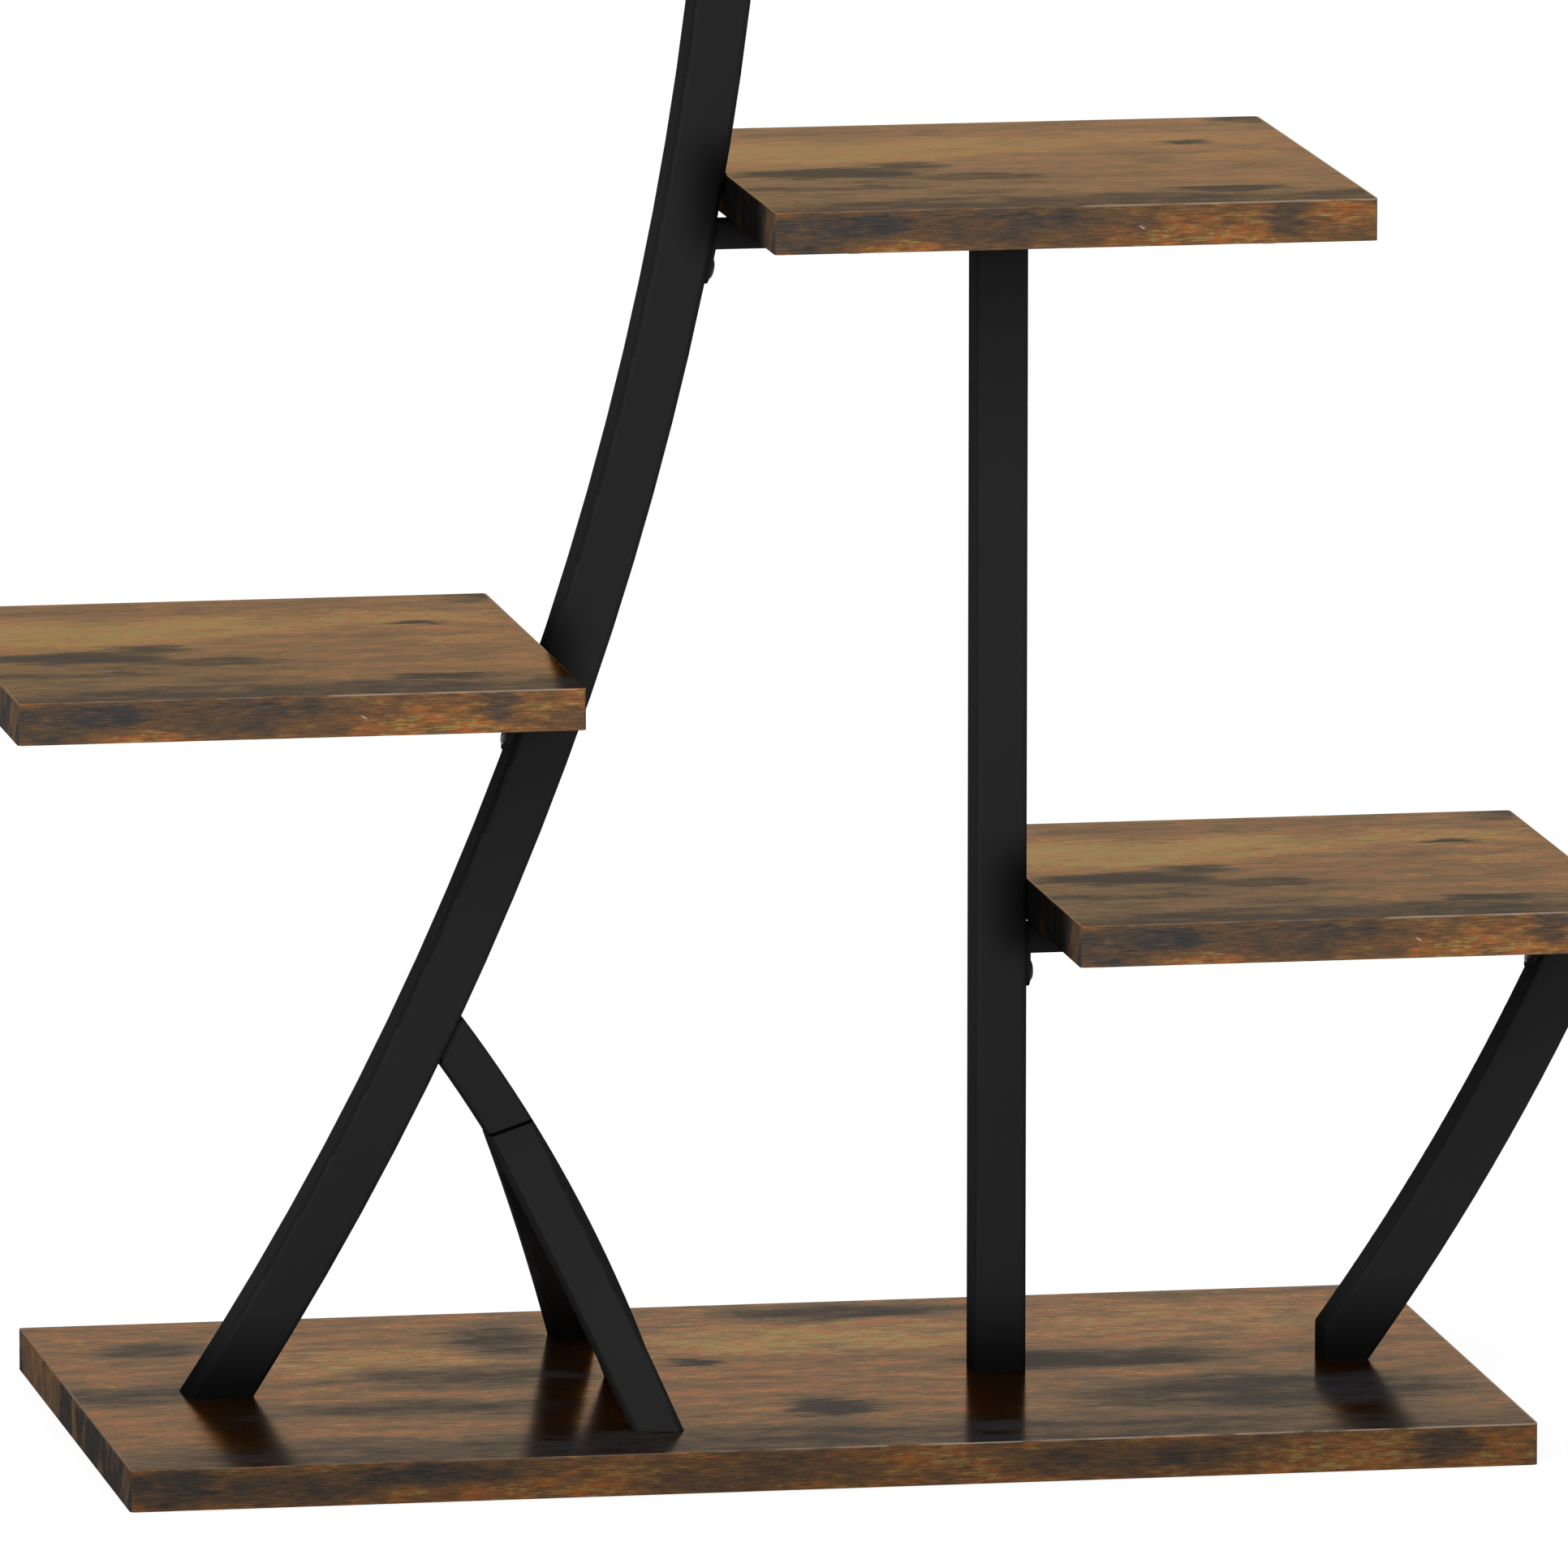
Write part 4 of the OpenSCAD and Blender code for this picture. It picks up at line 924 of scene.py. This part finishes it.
def bead_mesh(name, runs, radius):
    """Weld beads: a rippled round run between each pair of points."""
    mesh = bmesh.new()
    for start, end in runs:
        start, end = Vector(start), Vector(end)
        along = end - start
        steps = max(6, round(along.length / (radius * BEAD_STEP)))
        axis = along.normalized()
        side = axis.orthogonal().normalized()
        lift = axis.cross(side)
        rings = []
        for step in range(steps + 1):
            share = step / steps
            ripple = 1.0 + BEAD_RIPPLE * math.sin(share * along.length / radius * BEAD_RIPPLE_TURNS)
            roundness = math.sqrt(max(0.0, 1.0 - (2.0 * share - 1.0) ** 8))
            reach = radius * ripple * min(1.0, roundness + BEAD_BLUNTNESS)
            centre = start.lerp(end, share)
            ring = []
            for k in range(BEAD_SIDES):
                angle = 2.0 * math.pi * k / BEAD_SIDES
                out = side * math.cos(angle) + lift * math.sin(angle)
                ring.append(mesh.verts.new(centre + out * reach))
            rings.append(ring)
        for first, second in zip(rings, rings[1:]):
            for k in range(BEAD_SIDES):
                after = (k + 1) % BEAD_SIDES
                mesh.faces.new((first[k], first[after], second[after], second[k]))
        mesh.faces.new(list(reversed(rings[0])))
        mesh.faces.new(rings[-1])
    data = bpy.data.meshes.new(name)
    mesh.to_mesh(data)
    mesh.free()
    for face in data.polygons:
        face.use_smooth = True
    piece = bpy.data.objects.new(name, data)
    bpy.context.scene.collection.objects.link(piece)
    return piece


class STAND_OT_welds(Operator):
    """Run small weld beads between each shelf's rail and its straps"""
    bl_idname = "stand.welds"
    bl_label = "Weld beads"

    def execute(self, context):
        settings = context.scene.stand_steel
        steel = bpy.data.materials.get("black powder coat")
        if steel is None:
            raise RuntimeError("the steel has no finish yet")
        inset = settings.bead * BEAD_INSET
        half_run = STRAP_WIDTH / 2 - BEAD_END_GAP
        for shelf in SHELVES:
            rail_low, rail_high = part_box(shelf + "_rail")
            strap_low, strap_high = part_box(shelf + "_straps")
            z = strap_low.z - inset
            runs = []
            for middle in (strap_low.x + STRAP_WIDTH / 2, strap_high.x - STRAP_WIDTH / 2):
                for y in (rail_low.y + inset, rail_high.y - inset):
                    runs.append(((middle - half_run, y, z), (middle + half_run, y, z)))
            beads = bead_mesh(shelf + "_weld_beads", runs, settings.bead)
            beads.data.materials.append(steel)
            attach(beads, "root")
        return {"FINISHED"}


# Studio

def backdrop_factor(b):
    """One for rays that should see the white background: from the camera, a reflection or a refraction."""
    path = b.tree.nodes.new("ShaderNodeLightPath")
    seen = b.total(path.outputs["Is Camera Ray"], path.outputs["Is Glossy Ray"])
    return b.maths("ADD", seen, path.outputs["Is Transmission Ray"], clamp=True)


def floor_material():
    material = bpy.data.materials.new("pale studio floor")
    material.use_nodes = True
    tree = material.node_tree
    tree.nodes.clear()
    b = Builder(tree)
    out = tree.nodes.new("ShaderNodeOutputMaterial")
    matt = tree.nodes.new("ShaderNodeBsdfDiffuse")
    matt.inputs["Color"].default_value = (FLOOR_GREY, FLOOR_GREY, FLOOR_GREY, 1.0)
    glow = tree.nodes.new("ShaderNodeEmission")
    glow.inputs["Color"].default_value = (1.0, 1.0, 1.0, 1.0)
    glow.inputs["Strength"].default_value = FLOOR_GLOW
    mixed = tree.nodes.new("ShaderNodeMixShader")
    b.feed(mixed.inputs[0], b.product(backdrop_factor(b), FLOOR_GLOW_SHARE))
    b.feed(mixed.inputs[1], matt.outputs[0])
    b.feed(mixed.inputs[2], glow.outputs[0])
    b.feed(out.inputs["Surface"], mixed.outputs[0])
    return material


def area_light(name, place, target, size, power):
    data = bpy.data.lights.new(name, "AREA")
    data.shape = "RECTANGLE"
    data.size, data.size_y = size
    data.energy = power
    lamp = bpy.data.objects.new(name, data)
    lamp.location = place
    lamp.rotation_mode = "QUATERNION"
    lamp.rotation_quaternion = (Vector(target) - Vector(place)).to_track_quat("-Z", "Y")
    bpy.context.scene.collection.objects.link(lamp)


def lay_floor(scene):
    mesh = bmesh.new()
    bmesh.ops.create_grid(mesh, x_segments=8, y_segments=8, size=FLOOR_HALF_WIDTH)
    data = bpy.data.meshes.new("studio_floor")
    mesh.to_mesh(data)
    mesh.free()
    data.materials.append(floor_material())
    floor = bpy.data.objects.new("studio_floor", data)
    floor.location = (0.0, 0.0, -FLOOR_DROP)
    scene.collection.objects.link(floor)


def set_surroundings(scene, sky_light):
    """White all round: full for what the camera and reflections see, dimmer as light on the object."""
    world = bpy.data.worlds.new("white surroundings")
    scene.world = world
    world.use_nodes = True
    tree = world.node_tree
    tree.nodes.clear()
    b = Builder(tree)
    out = tree.nodes.new("ShaderNodeOutputWorld")
    sky = tree.nodes.new("ShaderNodeBackground")
    sky.inputs["Color"].default_value = (1.0, 1.0, 1.0, 1.0)
    rest = b.maths("SUBTRACT", 1.0, sky_light)
    b.feed(sky.inputs["Strength"], b.total(sky_light, b.product(backdrop_factor(b), rest)))
    b.feed(out.inputs["Surface"], sky.outputs[0])


def set_camera(scene, settings):
    """Places the camera from the angles, distance and pan that were fitted to the photograph."""
    azimuth, elevation, roll = settings.azimuth, settings.elevation, settings.roll
    back = Vector((math.sin(azimuth) * math.cos(elevation), -math.cos(azimuth) * math.cos(elevation),
                   math.sin(elevation)))
    level = Vector((math.cos(azimuth), math.sin(azimuth), 0.0))
    upright = back.cross(level)
    right = level * math.cos(roll) + upright * math.sin(roll)
    up = upright * math.cos(roll) - level * math.sin(roll)
    data = bpy.data.cameras.new("photo_view")
    data.lens = settings.lens
    data.sensor_width = 36.0
    data.clip_start = 0.1
    data.clip_end = 200.0
    camera = bpy.data.objects.new("photo_view", data)
    spot = Vector(settings.target) + back * settings.distance + right * settings.pan[0] + up * settings.pan[1]
    camera.matrix_world = Matrix.Translation(spot) @ Matrix((right, up, back)).transposed().to_4x4()
    scene.collection.objects.link(camera)
    scene.camera = camera


class STAND_OT_studio(Operator):
    """Set the floor, the soft lights, the white surroundings and the camera"""
    bl_idname = "stand.studio"
    bl_label = "Studio and camera"

    def execute(self, context):
        scene = context.scene
        settings = scene.stand_studio
        lay_floor(scene)
        set_surroundings(scene, settings.sky)
        area_light("front_key", KEY_PLACE, KEY_TARGET, KEY_SIZE, settings.key)
        set_camera(scene, settings)
        scene.view_settings.view_transform = "Standard"
        return {"FINISHED"}


class STAND_PT_panel(Panel):
    """The stand's finishes and studio"""
    bl_idname = "STAND_PT_panel"
    bl_label = "Plant Stand"
    bl_space_type = "VIEW_3D"
    bl_region_type = "UI"
    bl_category = "Plant Stand"

    def draw(self, context):
        layout = self.layout
        scene = context.scene
        for title, owner, operator in (
            ("Boards", scene.stand_boards, STAND_OT_boards),
            ("Steel", scene.stand_steel, STAND_OT_metal),
            ("Studio", scene.stand_studio, STAND_OT_studio),
        ):
            box = layout.box()
            box.label(text=title)
            for name in owner.__annotations__:
                box.prop(owner, name)
            box.operator(operator.bl_idname)
        layout.operator(STAND_OT_welds.bl_idname)


CLASSES = (
    StandBoardSettings,
    StandSteelSettings,
    StandStudioSettings,
    STAND_OT_boards,
    STAND_OT_metal,
    STAND_OT_welds,
    STAND_OT_studio,
    STAND_PT_panel,
)


def register():
    for cls in CLASSES:
        bpy.utils.register_class(cls)
    bpy.types.Scene.stand_boards = PointerProperty(type=StandBoardSettings)
    bpy.types.Scene.stand_steel = PointerProperty(type=StandSteelSettings)
    bpy.types.Scene.stand_studio = PointerProperty(type=StandStudioSettings)


def unregister():
    del bpy.types.Scene.stand_boards
    del bpy.types.Scene.stand_steel
    del bpy.types.Scene.stand_studio
    for cls in reversed(CLASSES):
        bpy.utils.unregister_class(cls)


def main():
    register()
    bpy.ops.stand.boards()
    bpy.ops.stand.metal()
    bpy.ops.stand.welds()
    bpy.ops.stand.studio()


if __name__ == "__main__":
    main()
